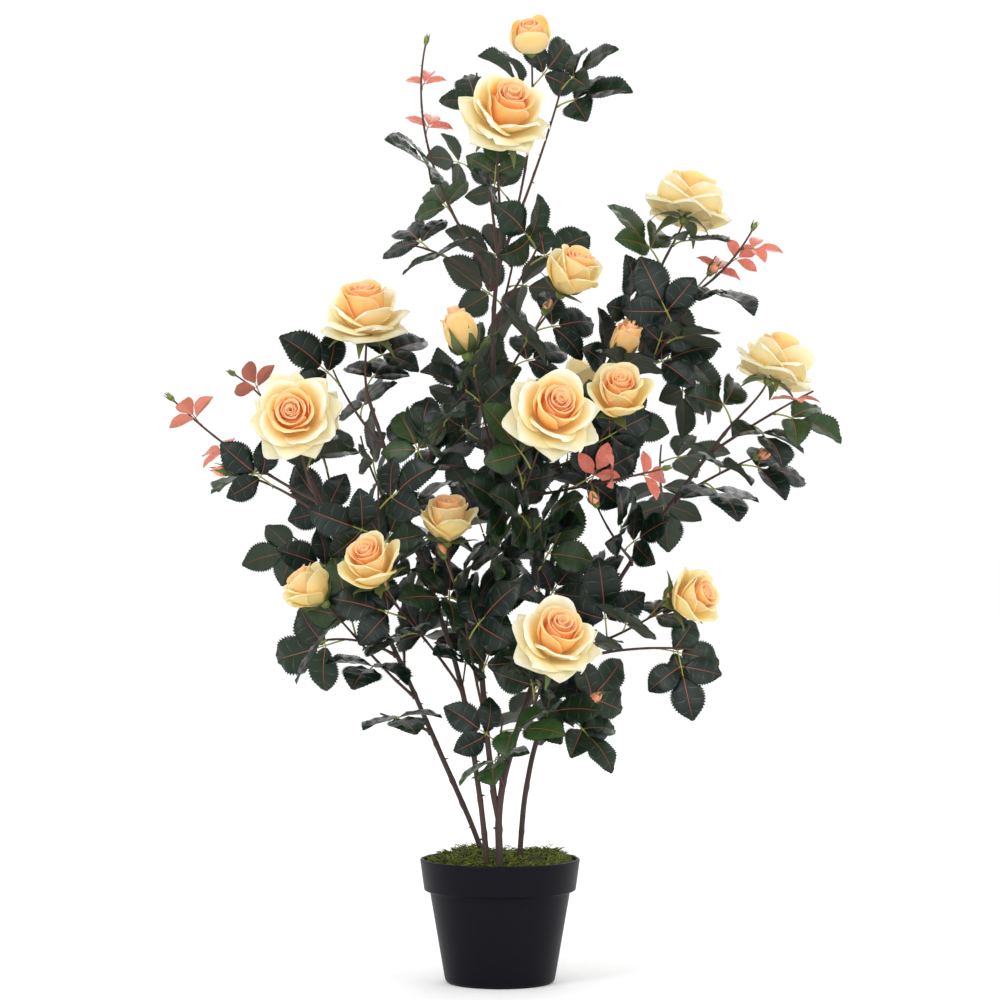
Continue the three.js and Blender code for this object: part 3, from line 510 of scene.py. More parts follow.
def solid_sprays(shoot):
    """Plans of the sprays that the solids have too."""
    random = dice(shoot["seed"])
    phase = random() * 2 * math.pi
    last = 0.7 if shoot["form"] else 0.9
    count = shoot["leaves"]
    for i in range(count):
        is_red = i >= count - shoot["red"]
        yield {
            "share": shoot["first"] + ((last - shoot["first"]) * (i + 0.5)) / count,
            "phase": phase + GOLDEN_ANGLE * i,
            "twig": 0,
            "red": is_red,
            "scale": (RED_LEAF_SCALE if is_red else 1) * (0.88 + 0.26 * random()),
            "roll": (random() - 0.5) * 1.5,
            "pitch": STALK_PITCH + (random() - 0.5) * 0.5,
        }


def fine_sprays(course, seed, spacing, lowest, last):
    """Plans of more sprays on thin twigs of a stem, fewer where the crown is open."""
    random = dice(seed)
    phase = random() * 2 * math.pi
    count = math.ceil(course.length / spacing)
    for i in range(count):
        plan = {
            "share": (i + 0.2 + 0.6 * random()) / count,
            "phase": phase + GOLDEN_ANGLE * i,
            "twig": 8 + 34 * random() ** 1.5,
            "red": False,
            "scale": 0.78 + 0.3 * random(),
            "roll": (random() - 0.5) * 2.2,
            "pitch": STALK_PITCH + (random() - 0.5) * 0.7,
        }
        root = course.at(plan["share"])
        is_borne = random() <= fullness(root)
        if is_borne and root[2] >= lowest and plan["share"] <= last:
            yield plan


def grown_sprays(space, name, course, plans, leaf_ball, fits):
    """Those of the planned sprays of a stem that find room."""
    frames = course.frames(FRAME_COUNT)
    for plan in plans:
        root = course.at(plan["share"])
        axes = frames[math.floor(plan["share"] * FRAME_COUNT + 0.5)]
        turns = spray_turns(root, axes, plan["phase"], plan["pitch"], plan["twig"])
        spray = roomiest_spray(space, name, turns, plan["roll"], plan["scale"], leaf_ball, fits)
        if spray:
            yield {**spray, "red": plan["red"], "twig_root": root}


# ---- joined meshes
class Net:
    """Which corners make up each face of a shape, and the number of each face's material."""

    def __init__(self, faces, kinds=None):
        self.loops = np.concatenate([np.array(face, int) for face in faces])
        self.sizes = np.array([len(face) for face in faces])
        self.kinds = np.zeros(len(faces), int) if kinds is None else np.array(kinds)


class Heap:
    """The corners and faces of one piece in the making."""

    def __init__(self):
        self.corners, self.loops, self.sizes, self.kinds, self.tints = [], [], [], [], []
        self.count = 0

    def add(self, corners, net, kind=0, tints=None):
        self.corners.append(corners)
        self.loops.append(net.loops + self.count)
        self.sizes.append(net.sizes)
        self.kinds.append(net.kinds + kind)
        if tints is not None:
            self.tints.append(tints)
        self.count += len(corners)

    def build(self, name, materials, angle=60):
        """The heap as one smooth-shaded object, with edges sharper than `angle` degrees kept."""
        mesh = bpy.data.meshes.new(name)
        sizes = np.concatenate(self.sizes)
        loops = np.concatenate(self.loops)
        mesh.vertices.add(self.count)
        mesh.vertices.foreach_set("co", (np.concatenate(self.corners) * MM).ravel())
        mesh.loops.add(len(loops))
        mesh.loops.foreach_set("vertex_index", loops)
        mesh.polygons.add(len(sizes))
        mesh.polygons.foreach_set("loop_start", np.concatenate([[0], np.cumsum(sizes)[:-1]]))
        mesh.polygons.foreach_set("material_index", np.concatenate(self.kinds))
        mesh.update(calc_edges=True)
        if self.tints:
            tints = mesh.color_attributes.new("tint", "FLOAT_COLOR", "POINT")
            tints.data.foreach_set("color", np.concatenate(self.tints).ravel())
        for material in materials:
            mesh.materials.append(material)
        piece = bpy.data.objects.new(name, mesh)
        bpy.context.scene.collection.objects.link(piece)
        smooth(piece, angle)
        return piece


def only(piece):
    """Selects one object and makes it the active one."""
    bpy.ops.object.select_all(action="DESELECT")
    piece.select_set(True)
    bpy.context.view_layer.objects.active = piece


def smooth(piece, angle):
    only(piece)
    bpy.ops.object.shade_smooth_by_angle(angle=math.radians(angle))


def hand_in(piece, slot, *nodes):
    """Fixes a finished piece to the plant and lets it stand for its solids."""
    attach(piece, "root")
    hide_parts(*nodes)


@functools.cache
def tube_net(rings, sides):
    faces = [tuple(range(sides))[::-1], tuple(range((rings - 1) * sides, rings * sides))]
    for i in range(rings - 1):
        for k in range(sides):
            a, b = i * sides + k, i * sides + (k + 1) % sides
            faces.append((a, b, b + sides, a + sides))
    return Net(faces)


@functools.cache
def grid_net(rows, columns):
    at = np.arange(rows * columns).reshape(rows, columns)
    return Net([
        (at[i, k], at[i, k + 1], at[i + 1, k + 1], at[i + 1, k])
        for i in range(rows - 1)
        for k in range(columns - 1)
    ])


def tube(heap, path, radii, sides, kind=0, axes=None, relief=None):
    """A closed tube along some points. relief scales the radius, by ring and by side."""
    path = np.array(path, float)
    if axes is None:
        tangents = np.gradient(path, axis=0)
        tangents /= np.linalg.norm(tangents, axis=1, keepdims=True)
        aside = np.eye(3)[np.argmin(np.abs(tangents.mean(axis=0)))]
        normals = np.cross(tangents, aside)
        normals /= np.linalg.norm(normals, axis=1, keepdims=True)
        binormals = np.cross(tangents, normals)
    else:
        normals = np.array([axis[1] for axis in axes])
        binormals = np.array([axis[2] for axis in axes])
    angles = 2 * math.pi * np.arange(sides) / sides
    reach = np.array(radii, float)[:, None] * np.ones(sides)
    if relief is not None:
        reach = reach * relief
    rings = (
        path[:, None]
        + (reach * np.cos(angles))[..., None] * normals[:, None]
        + (reach * np.sin(angles))[..., None] * binormals[:, None]
    )
    heap.add(rings.reshape(-1, 3), tube_net(len(path), sides), kind)


# ---- leaves
LEAF_TOP, LEAF_UNDER, LEAF_RIB, LEAF_VEIN = 0, 1, 2, 3
# In shares of a leaf's width, or of its length along the leaf.
VEIN_WIDTH = 0.014
RIB_HEIGHT = 0.018
UNDER_RIB_HEIGHT = -0.014
VEIN_RISE = 0.045
LEAST_BLADE = 0.03


def leaf_outline(along):
    """Half the width of a leaf at a share of its length, in shares of its full width."""
    widest = 0.423
    shape = along**0.66 * (1 - along) ** 0.9
    return 0.5 * shape / (widest**0.66 * (1 - widest) ** 0.9)


class LeafPattern:
    """A leaf with saw teeth: corners across, along and up, in shares of its width and length, and faces.

    Bands of teeth run down both sides of the rib. The lines between the bands are grooves with a side
    vein and crests by turns, so the number of bands is even.
    """

    def __init__(self, bands, band_teeth, tooth_depth, puff, rib_width):
        corners, index, faces, kinds = [], {}, [], []
        half_bands = range(0, bands, 2)

        def corner(name, across, along, up):
            index[name] = len(corners)
            corners.append((across, along, up))

        def face(kind, *names):
            faces.append(tuple(index[name] for name in names))
            kinds.append(kind)

        def has_vein(j):
            return j % 2 == 0 and j > 0

        def slanted(along):
            return along + 0.08 * (1 - along) * (along > 0)

        def blade_edge(along, rib):
            return max(leaf_outline(max(along, 0.012)), rib + LEAST_BLADE)

        for j in range(bands):
            along = j / bands
            rib = rib_width * (1 - 0.75 * along)
            middle = rib + 0.52 * (blade_edge(along, rib) - rib)
            height = puff * (1.45 if j % 2 else 0.35)
            for side in (-1, 1):
                corner(("rib", side, j), side * rib, along, RIB_HEIGHT)
                corner(("mid", side, j), side * middle, along + VEIN_RISE, height)
                if has_vein(j):
                    corner(("vein", side, j), side * middle, along + VEIN_RISE + VEIN_WIDTH, height)
                for n in range(band_teeth):
                    notch_at = (j + n / band_teeth) / bands
                    notch = blade_edge(notch_at, rib)
                    tooth_at = (j + (n + 0.86) / band_teeth) / bands
                    tooth = leaf_outline(min(tooth_at, 0.97)) + tooth_depth * min(1, 3 * (1 - tooth_at))
                    corner(("notch", side, j, n), side * notch, slanted(notch_at), 0)
                    corner(("tooth", side, j, n), side * tooth, slanted(tooth_at), 0)
        for j in half_bands:
            for side in (-1, 1):
                under = rib_width * (0.8 - 0.6 * j / bands)
                corner(("under", side, j), side * under, j / bands, UNDER_RIB_HEIGHT)
        corner("tip", 0, 1, 0)

        def edge(side, j):
            """The teeth of a band, from its foot to the next band's foot or the leaf's tip."""
            names = [(kind, side, j, n) for n in range(band_teeth) for kind in ("notch", "tooth")]
            return names + [("notch", side, j + 1, 0) if j + 1 < bands else "tip"]

        for side in (-1, 1):
            for j in range(bands):
                k = j + 1
                middle = ("vein", side, j) if has_vein(j) else ("mid", side, j)
                beyond = [("mid", side, k)] if k < bands else []
                rib_beyond = [("rib", side, k)] if k < bands else ["tip"]
                face(LEAF_TOP, *([("rib", side, j), middle] + beyond + rib_beyond)[::side])
                face(LEAF_TOP, *([middle] + edge(side, j) + beyond)[::side])
                if has_vein(j):
                    vein = [("rib", side, j), ("mid", side, j), ("notch", side, j, 0), middle]
                    face(LEAF_VEIN, *vein[::side])
            for j in half_bands:
                beyond = [("under", side, j + 2)] if j + 2 < bands else []
                under = [("under", side, j)] + edge(side, j)[:-1] + edge(side, j + 1) + beyond
                face(LEAF_UNDER, *under[::-side])
            base = [("rib", side, 0), ("under", side, 0), ("notch", side, 0, 0), ("mid", side, 0)]
            face(LEAF_UNDER, *base[::side])
        for j in half_bands:
            beyond = [("rib", 1, j + 2), ("rib", -1, j + 2)] if j + 2 < bands else ["tip"]
            foot = [("rib", -1, j), ("rib", 1, j), ("rib", 1, j + 1)]
            face(LEAF_RIB, *foot, *beyond, ("rib", -1, j + 1))
            beyond = [("under", -1, j + 2), ("under", 1, j + 2)] if j + 2 < bands else ["tip"]
            face(LEAF_RIB, ("under", 1, j), ("under", -1, j), *beyond)
        face(LEAF_UNDER, ("rib", 1, 0), ("rib", -1, 0), ("under", -1, 0), ("under", 1, 0))
        self.corners = np.array(corners, float)
        self.net = Net(faces, kinds)

    def laid(self, leaflet, droop, fold, wave, sway):
        """The corners of a leaf in its place, bent down along its length and folded along its rib."""
        across, along, up = self.corners.T
        length, width = leaflet["length"], leaflet["width"]
        x, z = across * width, up * width
        z = z + fold * np.abs(x) + wave * width * np.sin(11 * along + sway * 9) * np.abs(across) * 2 * along
        x = x + sway * width * along**2
        angle = droop / 2 - droop * along
        span = length / droop
        ahead = span * (math.sin(droop / 2) - np.sin(angle)) - z * np.sin(angle)
        above = span * (np.cos(angle) - math.cos(droop / 2)) + z * np.cos(angle)
        right = np.cross(leaflet["along"], leaflet["normal"])
        return (
            leaflet["root"]
            + x[:, None] * right
            + ahead[:, None] * leaflet["along"]
            + above[:, None] * leaflet["normal"]
        )


# ---- flowers
def srgb(red, green, blue):
    """A colour given as it shows, from 0 to 255, as the linear RGBA that shaders take."""
    shown = np.array([red, green, blue]) / 255
    linear = np.where(shown <= 0.04045, shown / 12.92, ((shown + 0.055) / 1.055) ** 2.4)
    return tuple(linear) + (1.0,)


HEART = srgb(251, 154, 78)
PEACH = srgb(250, 174, 104)
APRICOT = srgb(245, 192, 120)
GOLD = srgb(233, 198, 124)
YELLOW = srgb(232, 208, 146)
CREAM = srgb(233, 219, 176)
PALE = srgb(247, 240, 218)


# One row for each ring of petals, from the heart out. base: radius and height of a petal's foot;
# lean: its slope above level at its foot, middle and rim, in degrees; lip: how far its rim rolls
# outwards, in degrees; length and half: its length and half width; wrap: how much flatter it is than
# the circle it stands on; rounding: how far its corners are rounded off; curl: how far in its sides
# roll back towards the rim; tuck: how far one side goes under its neighbour; tints: at its foot,
# middle and rim. Lengths are in shares of the flower's size.
def ring(count, base, lean, lip, length, half, wrap, rounding, curl, tuck, tints, grid=(10, 15)):
    return {
        "count": count, "base": base, "lean": lean, "lip": lip, "length": length, "half": half,
        "wrap": wrap, "rounding": rounding, "curl": curl, "tuck": tuck, "tints": np.array(tints),
        "grid": grid, "paleness": 0.85 if tints[2] == CREAM else 0.3,
    }


SPINE_STEPS = 32
LIP_FROM = 0.74
CURL_RADIUS = 0.06
MOST_CURL = 2.5
CUSP = 0.12
DEEP_TINTS = (HEART, HEART, HEART)
HEART_TINTS = (HEART, HEART, PEACH)
PEACH_TINTS = (HEART, PEACH, PEACH)
WARM_TINTS = (HEART, PEACH, APRICOT)
OUTER_TINTS = (GOLD, APRICOT, APRICOT)
PLUMP_TINTS = (YELLOW, YELLOW, APRICOT)
RINGS = {
    "open": [
        ring(2, (0.02, 0.1), (86, 90, 96), 40, 0.96, 0.12, 1.0, 0.1, 0, 0.3, HEART_TINTS, (5, 9)),
        ring(3, (0.05, 0.1), (68, 93, 108), 66, 0.99, 0.26, 1.0, 0.16, 0, 0.24, HEART_TINTS, (6, 11)),
        ring(3, (0.07, 0.08), (54, 91, 108), 72, 1.02, 0.42, 1.0, 0.2, 0.1, 0.2, HEART_TINTS, (8, 13)),
        ring(3, (0.09, 0.06), (42, 87, 104), 76, 1.05, 0.56, 1.0, 0.26, 0.2, 0.17, HEART_TINTS, (9, 15)),
        ring(4, (0.1, 0.05), (30, 79, 94), 80, 1.07, 0.56, 1.0, 0.32, 0.45, 0.15, WARM_TINTS),
        ring(4, (0.11, 0.04), (18, 60, 62), 56, 1.06, 0.62, 1.2, 0.36, 0.75, 0.12, (GOLD, GOLD, CREAM)),
        ring(5, (0.12, 0.02), (8, 38, 22), 30, 1.0, 0.6, 1.7, 0.4, 1.15, 0.08, (GOLD, YELLOW, CREAM)),
        ring(5, (0.12, 0.0), (0, 20, -4), 16, 0.94, 0.6, 2.8, 0.44, 1.2, 0.05, (YELLOW, YELLOW, CREAM)),
    ],
    "cup": [
        ring(2, (0.03, 0.4), (86, 90, 93), 0, 1.14, 0.18, 1.0, 0.1, 0, 0.3, HEART_TINTS, (5, 9)),
        ring(3, (0.06, 0.3), (76, 88, 95), 24, 1.26, 0.36, 1.0, 0.16, 0, 0.22, HEART_TINTS, (6, 11)),
        ring(3, (0.08, 0.2), (66, 86, 95), 40, 1.38, 0.56, 1.0, 0.2, 0.1, 0.18, HEART_TINTS, (8, 13)),
        ring(3, (0.1, 0.14), (54, 82, 94), 54, 1.5, 0.76, 1.0, 0.26, 0.3, 0.16, HEART_TINTS, (9, 15)),
        ring(4, (0.12, 0.08), (42, 76, 90), 70, 1.56, 0.86, 1.0, 0.34, 0.6, 0.12, (HEART, APRICOT, YELLOW)),
        ring(4, (0.14, 0.02), (22, 62, 66), 76, 1.56, 0.92, 1.1, 0.4, 0.85, 0.1, (GOLD, GOLD, YELLOW)),
    ],
    "bud": [
        ring(2, (0.08, 0.5), (84, 90, 96), 0, 2.2, 0.4, 1.0, 0.1, 0, 0.3, DEEP_TINTS, (6, 9)),
        ring(3, (0.14, 0.3), (58, 90, 108), 20, 2.5, 0.9, 1.0, 0.2, 0, 0.18, HEART_TINTS, (8, 13)),
        ring(3, (0.18, 0.12), (30, 88, 116), 44, 2.7, 1.2, 1.0, 0.3, 0.2, 0.14, PEACH_TINTS, (9, 13)),
        ring(3, (0.2, 0.04), (20, 84, 108), 70, 2.5, 1.15, 1.0, 0.36, 0.5, 0.1, OUTER_TINTS, (10, 13)),
    ],
    "plump": [
        ring(2, (0.05, 0.5), (84, 90, 96), 0, 1.5, 0.2, 1.0, 0.1, 0, 0.3, DEEP_TINTS, (6, 9)),
        ring(3, (0.08, 0.4), (66, 90, 104), 20, 1.6, 0.42, 1.0, 0.2, 0, 0.2, DEEP_TINTS, (8, 13)),
        ring(3, (0.1, 0.3), (44, 84, 114), 20, 1.9, 0.75, 1.0, 0.26, 0, 0.18, HEART_TINTS, (9, 13)),
        ring(3, (0.12, 0.16), (20, 78, 122), 20, 2.25, 1.1, 1.0, 0.3, 0, 0.14, PEACH_TINTS, (10, 13)),
        ring(3, (0.14, 0.0), (-10, 66, 126), 20, 2.75, 1.3, 1.0, 0.36, 0.1, 0.1, PLUMP_TINTS, (12, 15)),
    ],
}


def petal_spine(base, lean, lip, length):
    """Radius, height and slope along a petal's middle, at even shares of its length."""
    shares = np.linspace(0, 1, SPINE_STEPS + 1)
    start, middle, end = lean
    slope = (
        start * (1 - shares) * (1 - 2 * shares)
        + middle * 4 * shares * (1 - shares)
        + end * shares * (2 * shares - 1)
    )
    slope = np.radians(slope - lip * np.clip((shares - LIP_FROM) / (1 - LIP_FROM), 0, 1) ** 2)
    step = length / SPINE_STEPS
    middle_slope = (slope[1:] + slope[:-1]) / 2
    radius = base[0] + np.concatenate([[0], np.cumsum(np.cos(middle_slope) * step)])
    height = base[1] + np.concatenate([[0], np.cumsum(np.sin(middle_slope) * step)])
    return shares, radius, height, slope


def swung(ahead, sideways, height, turn):
    """Corners ahead of the flower's axis and beside it, turned about it."""
    x = ahead * math.cos(turn) - sideways * math.sin(turn)
    y = ahead * math.sin(turn) + sideways * math.cos(turn)
    return np.stack([x, y, np.broadcast_to(height, x.shape)], axis=-1).reshape(-1, 3)


def petal(heap, row, turn, tilt, place, random):
    """One petal of a ring, at an angle round the flower."""
    rows, columns = row["grid"]
    # Where each corner lies: across the petal, and along it under a rounded rim with a point.
    sweep = np.linspace(-0.5, 0.5, columns)[None] * math.pi
    aside = np.sin(sweep)
    along = (1 - (1 - np.linspace(0, 1, rows)) ** 1.35)[:, None]
    reach = 1 - row["rounding"] * (1 - np.cos(sweep)) + CUSP * row["curl"] * np.exp(-((aside / 0.16) ** 2))
    share = along * reach
    # The middle line and the half width there, narrow at the foot.
    length = row["length"] * (0.94 + 0.12 * random())
    shares, radii, heights, slopes = petal_spine(row["base"], row["lean"], row["lip"], length)
    radius, height, slope = (np.interp(share, shares, values) for values in (radii, heights, slopes))
    slope = slope + tilt * share
    half = row["half"] * (0.34 + 0.66 * np.sin(0.5 * math.pi * np.clip(share / 0.6, 0, 1)))
    across = aside * half
    # The sides beyond the fold roll back.
    rim = np.clip((share - 0.35) / 0.65, 0, 1)
    fold = half * (1 - row["curl"] * (0.8 + 0.2 * random()) * rim)
    rolled = MOST_CURL * np.tanh(np.maximum(np.abs(across) - fold, 0) / (CURL_RADIUS * MOST_CURL))
    across = np.sign(across) * (np.minimum(np.abs(across), fold) + CURL_RADIUS * np.sin(rolled))
    # The petal wraps round the flower, with one side tucked under its neighbour.
    bend = row["wrap"] * np.maximum(radius, 0.07)
    angle = across / bend
    ahead = radius - bend + bend * np.cos(angle)
    sideways = bend * np.sin(angle)
    grow = 1 + row["tuck"] * aside * (0.4 + 0.6 * share)
    ripple = 0.02 * row["half"] * np.sin(4.5 * aside + ROUND * random()) * rim
    back = CURL_RADIUS * (1 - np.cos(rolled)) + ripple
    ahead = ahead * grow + back * np.sin(slope) * np.cos(angle)
    height = height - back * np.cos(slope) + tilt * share * row["length"] * 0.5
    sideways = sideways * grow + back * np.sin(slope) * np.sin(angle)
    corners = place(swung(ahead, sideways, height, turn))
    tints = petal_tints(row, share, along, aside, random).reshape(-1, 4)
    heap.add(corners, grid_net(rows, columns), 0, tints)


def petal_tints(row, share, along, aside, random):
    """Colours over a petal: deep at its foot, pale along its rim."""
    base, middle, rim = row["tints"]
    share = share[..., None]
    inner = np.clip(share / 0.55, 0, 1)
    outer = np.clip((share - 0.45) / 0.4, 0, 1)
    tints = base + (middle - base) * inner + (rim - middle) * outer**1.3
    edge = np.clip(np.maximum((along - 0.84) / 0.16, (np.abs(aside) - 0.9) / 0.1 * along), 0, 1)[..., None]
    tints = tints + (np.array(PALE) - tints) * edge * row["paleness"]
    tints = tints * (0.96 + 0.06 * random())
    tints[..., 3] = 1
    return tints


def stood_at(seat, axis, size, spin):
    """A function that puts corners given about +Z on a seat, along an axis."""
    side = unit(np.cross(axis, UP if abs(axis[2]) < 0.9 else FRONT))
    other = np.cross(axis, side)
    first = side * math.cos(spin) + other * math.sin(spin)
    basis = np.array([first, np.cross(axis, first), axis])
    return lambda corners: seat + (corners * size) @ basis


def flower_petals(heap, form, size, seat, axis, seed):
    random = dice(seed)
    place = stood_at(seat, axis, size, random() * ROUND)
    turn = 0.0
    for row in RINGS[form]:
        turn += math.pi / row["count"] + 0.15
        for i in range(row["count"]):
            sway = (random() - 0.5) * 0.22
            tilt = (random() - 0.5) * 0.14
            petal(heap, row, turn + 2 * math.pi * i / row["count"] + sway, tilt, place, random)


# Sepals: slope at the base, middle and tip, then length, half width and how far out they start, all
# in shares of the flower's size.
SEPALS = {
    "open": ((0, -24, -62), 0.8, 0.17, 0.1),
    "cup": ((-14, 34, 4), 1.0, 0.2, 0.16),
    "bud": ((-6, 82, 66), 1.9, 0.36, 0.3),
    "plump": ((-34, 56, 84), 1.5, 0.4, 0.26),
    "green": ((44, 88, 80), 3.4, 0.6, 0.1),
}


def sepal(heap, form, turn, place, random):
    lean, length, half, foot = SEPALS[form]
    lean = [value + (random() - 0.5) * 26 for value in lean]
    length *= 0.85 + 0.3 * random()
    shares, radii, heights, _ = petal_spine((foot, -0.01), lean, 0, length)
    along = np.linspace(0, 1, 7)[:, None]
    radius, height = np.interp(along, shares, radii), np.interp(along, shares, heights)
    belly = 0.55 + 0.45 * np.sin(math.pi * np.minimum(along * 1.4, 1))
    sideways = np.array([[-1.0, 0.0, 1.0]]) * (half * belly * (1 - along**2.2) + 0.012)
    height = height + 0.25 * np.abs(sideways)
    heap.add(place(swung(radius, sideways, height, turn)), grid_net(7, 3))


def lathe(heap, profile, sides, place, kind=0):
    """A closed turned body about +Z. Its profile starts and ends on the axis."""
    rings = profile[1:-1]
    angles = 2 * math.pi * np.arange(sides) / sides
    corners = [[0, 0, profile[0][1]]]
    for r, z in rings:
        corners += [[r * math.cos(a), r * math.sin(a), z] for a in angles]
    corners.append([0, 0, profile[-1][1]])
    last = len(corners) - 1
    faces = []
    for k in range(sides):
        n = (k + 1) % sides
        faces.append((0, 1 + n, 1 + k))
        faces.append((last, last - sides + k, last - sides + n))
        for i in range(len(rings) - 1):
            a = 1 + i * sides
            faces.append((a + k, a + n, a + sides + n, a + sides + k))
    heap.add(place(np.array(corners, float)), Net(faces), kind)


# ---- materials
RELIEF_DEPTH = 0.0006  # metres


def material(name, color, roughness, noise_scale=0.0, bump=0.0, mottle=0.0, **sockets):
    """A plain-coloured finish with fine relief, uneven gloss and, where mottled, an uneven shade."""
    made = bpy.data.materials.new(name)
    made.use_nodes = True
    nodes, links = made.node_tree.nodes, made.node_tree.links
    shader = nodes["Principled BSDF"]
    shader.inputs["Base Color"].default_value = color
    shader.inputs["Roughness"].default_value = roughness
    for socket, value in sockets.items():
        shader.inputs[socket].default_value = value
    if not noise_scale:
        return made
    place = nodes.new("ShaderNodeTexCoord")
    noise = nodes.new("ShaderNodeTexNoise")
    noise.inputs["Scale"].default_value = noise_scale
    noise.inputs["Detail"].default_value = 4
    links.new(place.outputs["Object"], noise.inputs["Vector"])
    gloss = nodes.new("ShaderNodeMapRange")
    gloss.inputs["To Min"].default_value = roughness * 0.85
    gloss.inputs["To Max"].default_value = min(1, roughness * 1.15)
    links.new(noise.outputs["Fac"], gloss.inputs["Value"])
    links.new(gloss.outputs["Result"], shader.inputs["Roughness"])
    relief = nodes.new("ShaderNodeBump")
    relief.inputs["Strength"].default_value = bump
    relief.inputs["Distance"].default_value = RELIEF_DEPTH
    links.new(noise.outputs["Fac"], relief.inputs["Height"])
    links.new(relief.outputs["Normal"], shader.inputs["Normal"])
    if mottle:
        shades = nodes.new("ShaderNodeMix")
        shades.data_type = "RGBA"
        shades.inputs["A"].default_value = [c * (1 - mottle) for c in color[:3]] + [1]
        shades.inputs["B"].default_value = [min(1, c * (1 + mottle)) for c in color[:3]] + [1]
        coarse = nodes.new("ShaderNodeTexNoise")
        coarse.inputs["Scale"].default_value = noise_scale / 5
        coarse.inputs["Detail"].default_value = 3
        links.new(place.outputs["Object"], coarse.inputs["Vector"])
        links.new(coarse.outputs["Fac"], shades.inputs["Factor"])
        links.new(shades.outputs["Result"], shader.inputs["Base Color"])
    return made


# Subsurface lets light through the thin cloth; the emission is a painted glow that brightens the petals as
# though they gave off light.
PETAL_TRANSLUCENCY_AND_PAINTED_GLOW = {
    "Subsurface Weight": 0.6, "Subsurface Radius": (1, 0.7, 0.4), "Subsurface Scale": 0.006,
    "Emission Strength": 0.08, "Specular IOR Level": 0.2,
}


def petal_material():
    """Silky petal cloth, coloured by the tint that each corner carries, which also makes the cloth give off a
    faint painted glow.
    """
    made = material("petal_silk", (1, 1, 1, 1), 0.55, 420, 0.25, **PETAL_TRANSLUCENCY_AND_PAINTED_GLOW)
    nodes, links = made.node_tree.nodes, made.node_tree.links
    tint = nodes.new("ShaderNodeAttribute")
    tint.attribute_name = "tint"
    # The tint also colours the emission: a painted glow in the petals' own hues.
    for socket in ("Base Color", "Emission Color"):
        links.new(tint.outputs["Color"], nodes["Principled BSDF"].inputs[socket])
    return made


# ---- settings
class RoseBushSizes(bpy.types.PropertyGroup):
    """Sizes that a user would change."""

    petal_thickness: bpy.props.FloatProperty(
        name="Petal thickness", description="Thickness of a petal's cloth", default=0.0005, unit="LENGTH")
    moss_strands: bpy.props.IntProperty(
        name="Moss strands", description="Number of strands in the moss", default=7600, min=100)
    pot_sides: bpy.props.IntProperty(
        name="Pot sides", description="Sides of the turned pot", default=96, min=24)


def color_property(name, description, color):
    return bpy.props.FloatVectorProperty(
        name=name, description=description, default=color, size=4, min=0, max=1, subtype="COLOR")


class RoseBushColors(bpy.types.PropertyGroup):
    """Colours that a user would change."""

    dark_leaf: color_property("Dark leaf", "Older leaves", srgb(8, 25, 19))
    mid_leaf: color_property("Middle leaf", "Leaves of this year", srgb(15, 36, 18))
    fresh_leaf: color_property("Fresh leaf", "Fresh green leaves", srgb(40, 64, 28))
    young_leaf: color_property("Young leaf", "Red young leaves", srgb(206, 112, 96))
    stalk: color_property("Leaf stalk", "Leaf stalks", srgb(140, 148, 62))
    bark: color_property("Bark", "Canes and twigs", srgb(58, 40, 34))
    moss: color_property("Moss", "Moss on the pot", srgb(98, 112, 40))
    pot: color_property("Pot", "Plastic of the pot", srgb(15, 14, 21))


def channels_scaled(color, red, green, blue):
    """A colour with its channels scaled."""
    return tuple(c * s for c, s in zip(color, (red, green, blue, 1)))


def finish_editing():
    """Turns the faces of the mesh in Edit Mode outwards and leaves that mode."""
    bpy.ops.mesh.select_all(action="SELECT")
    bpy.ops.mesh.normals_make_consistent(inside=False)
    bpy.ops.object.mode_set(mode="OBJECT")


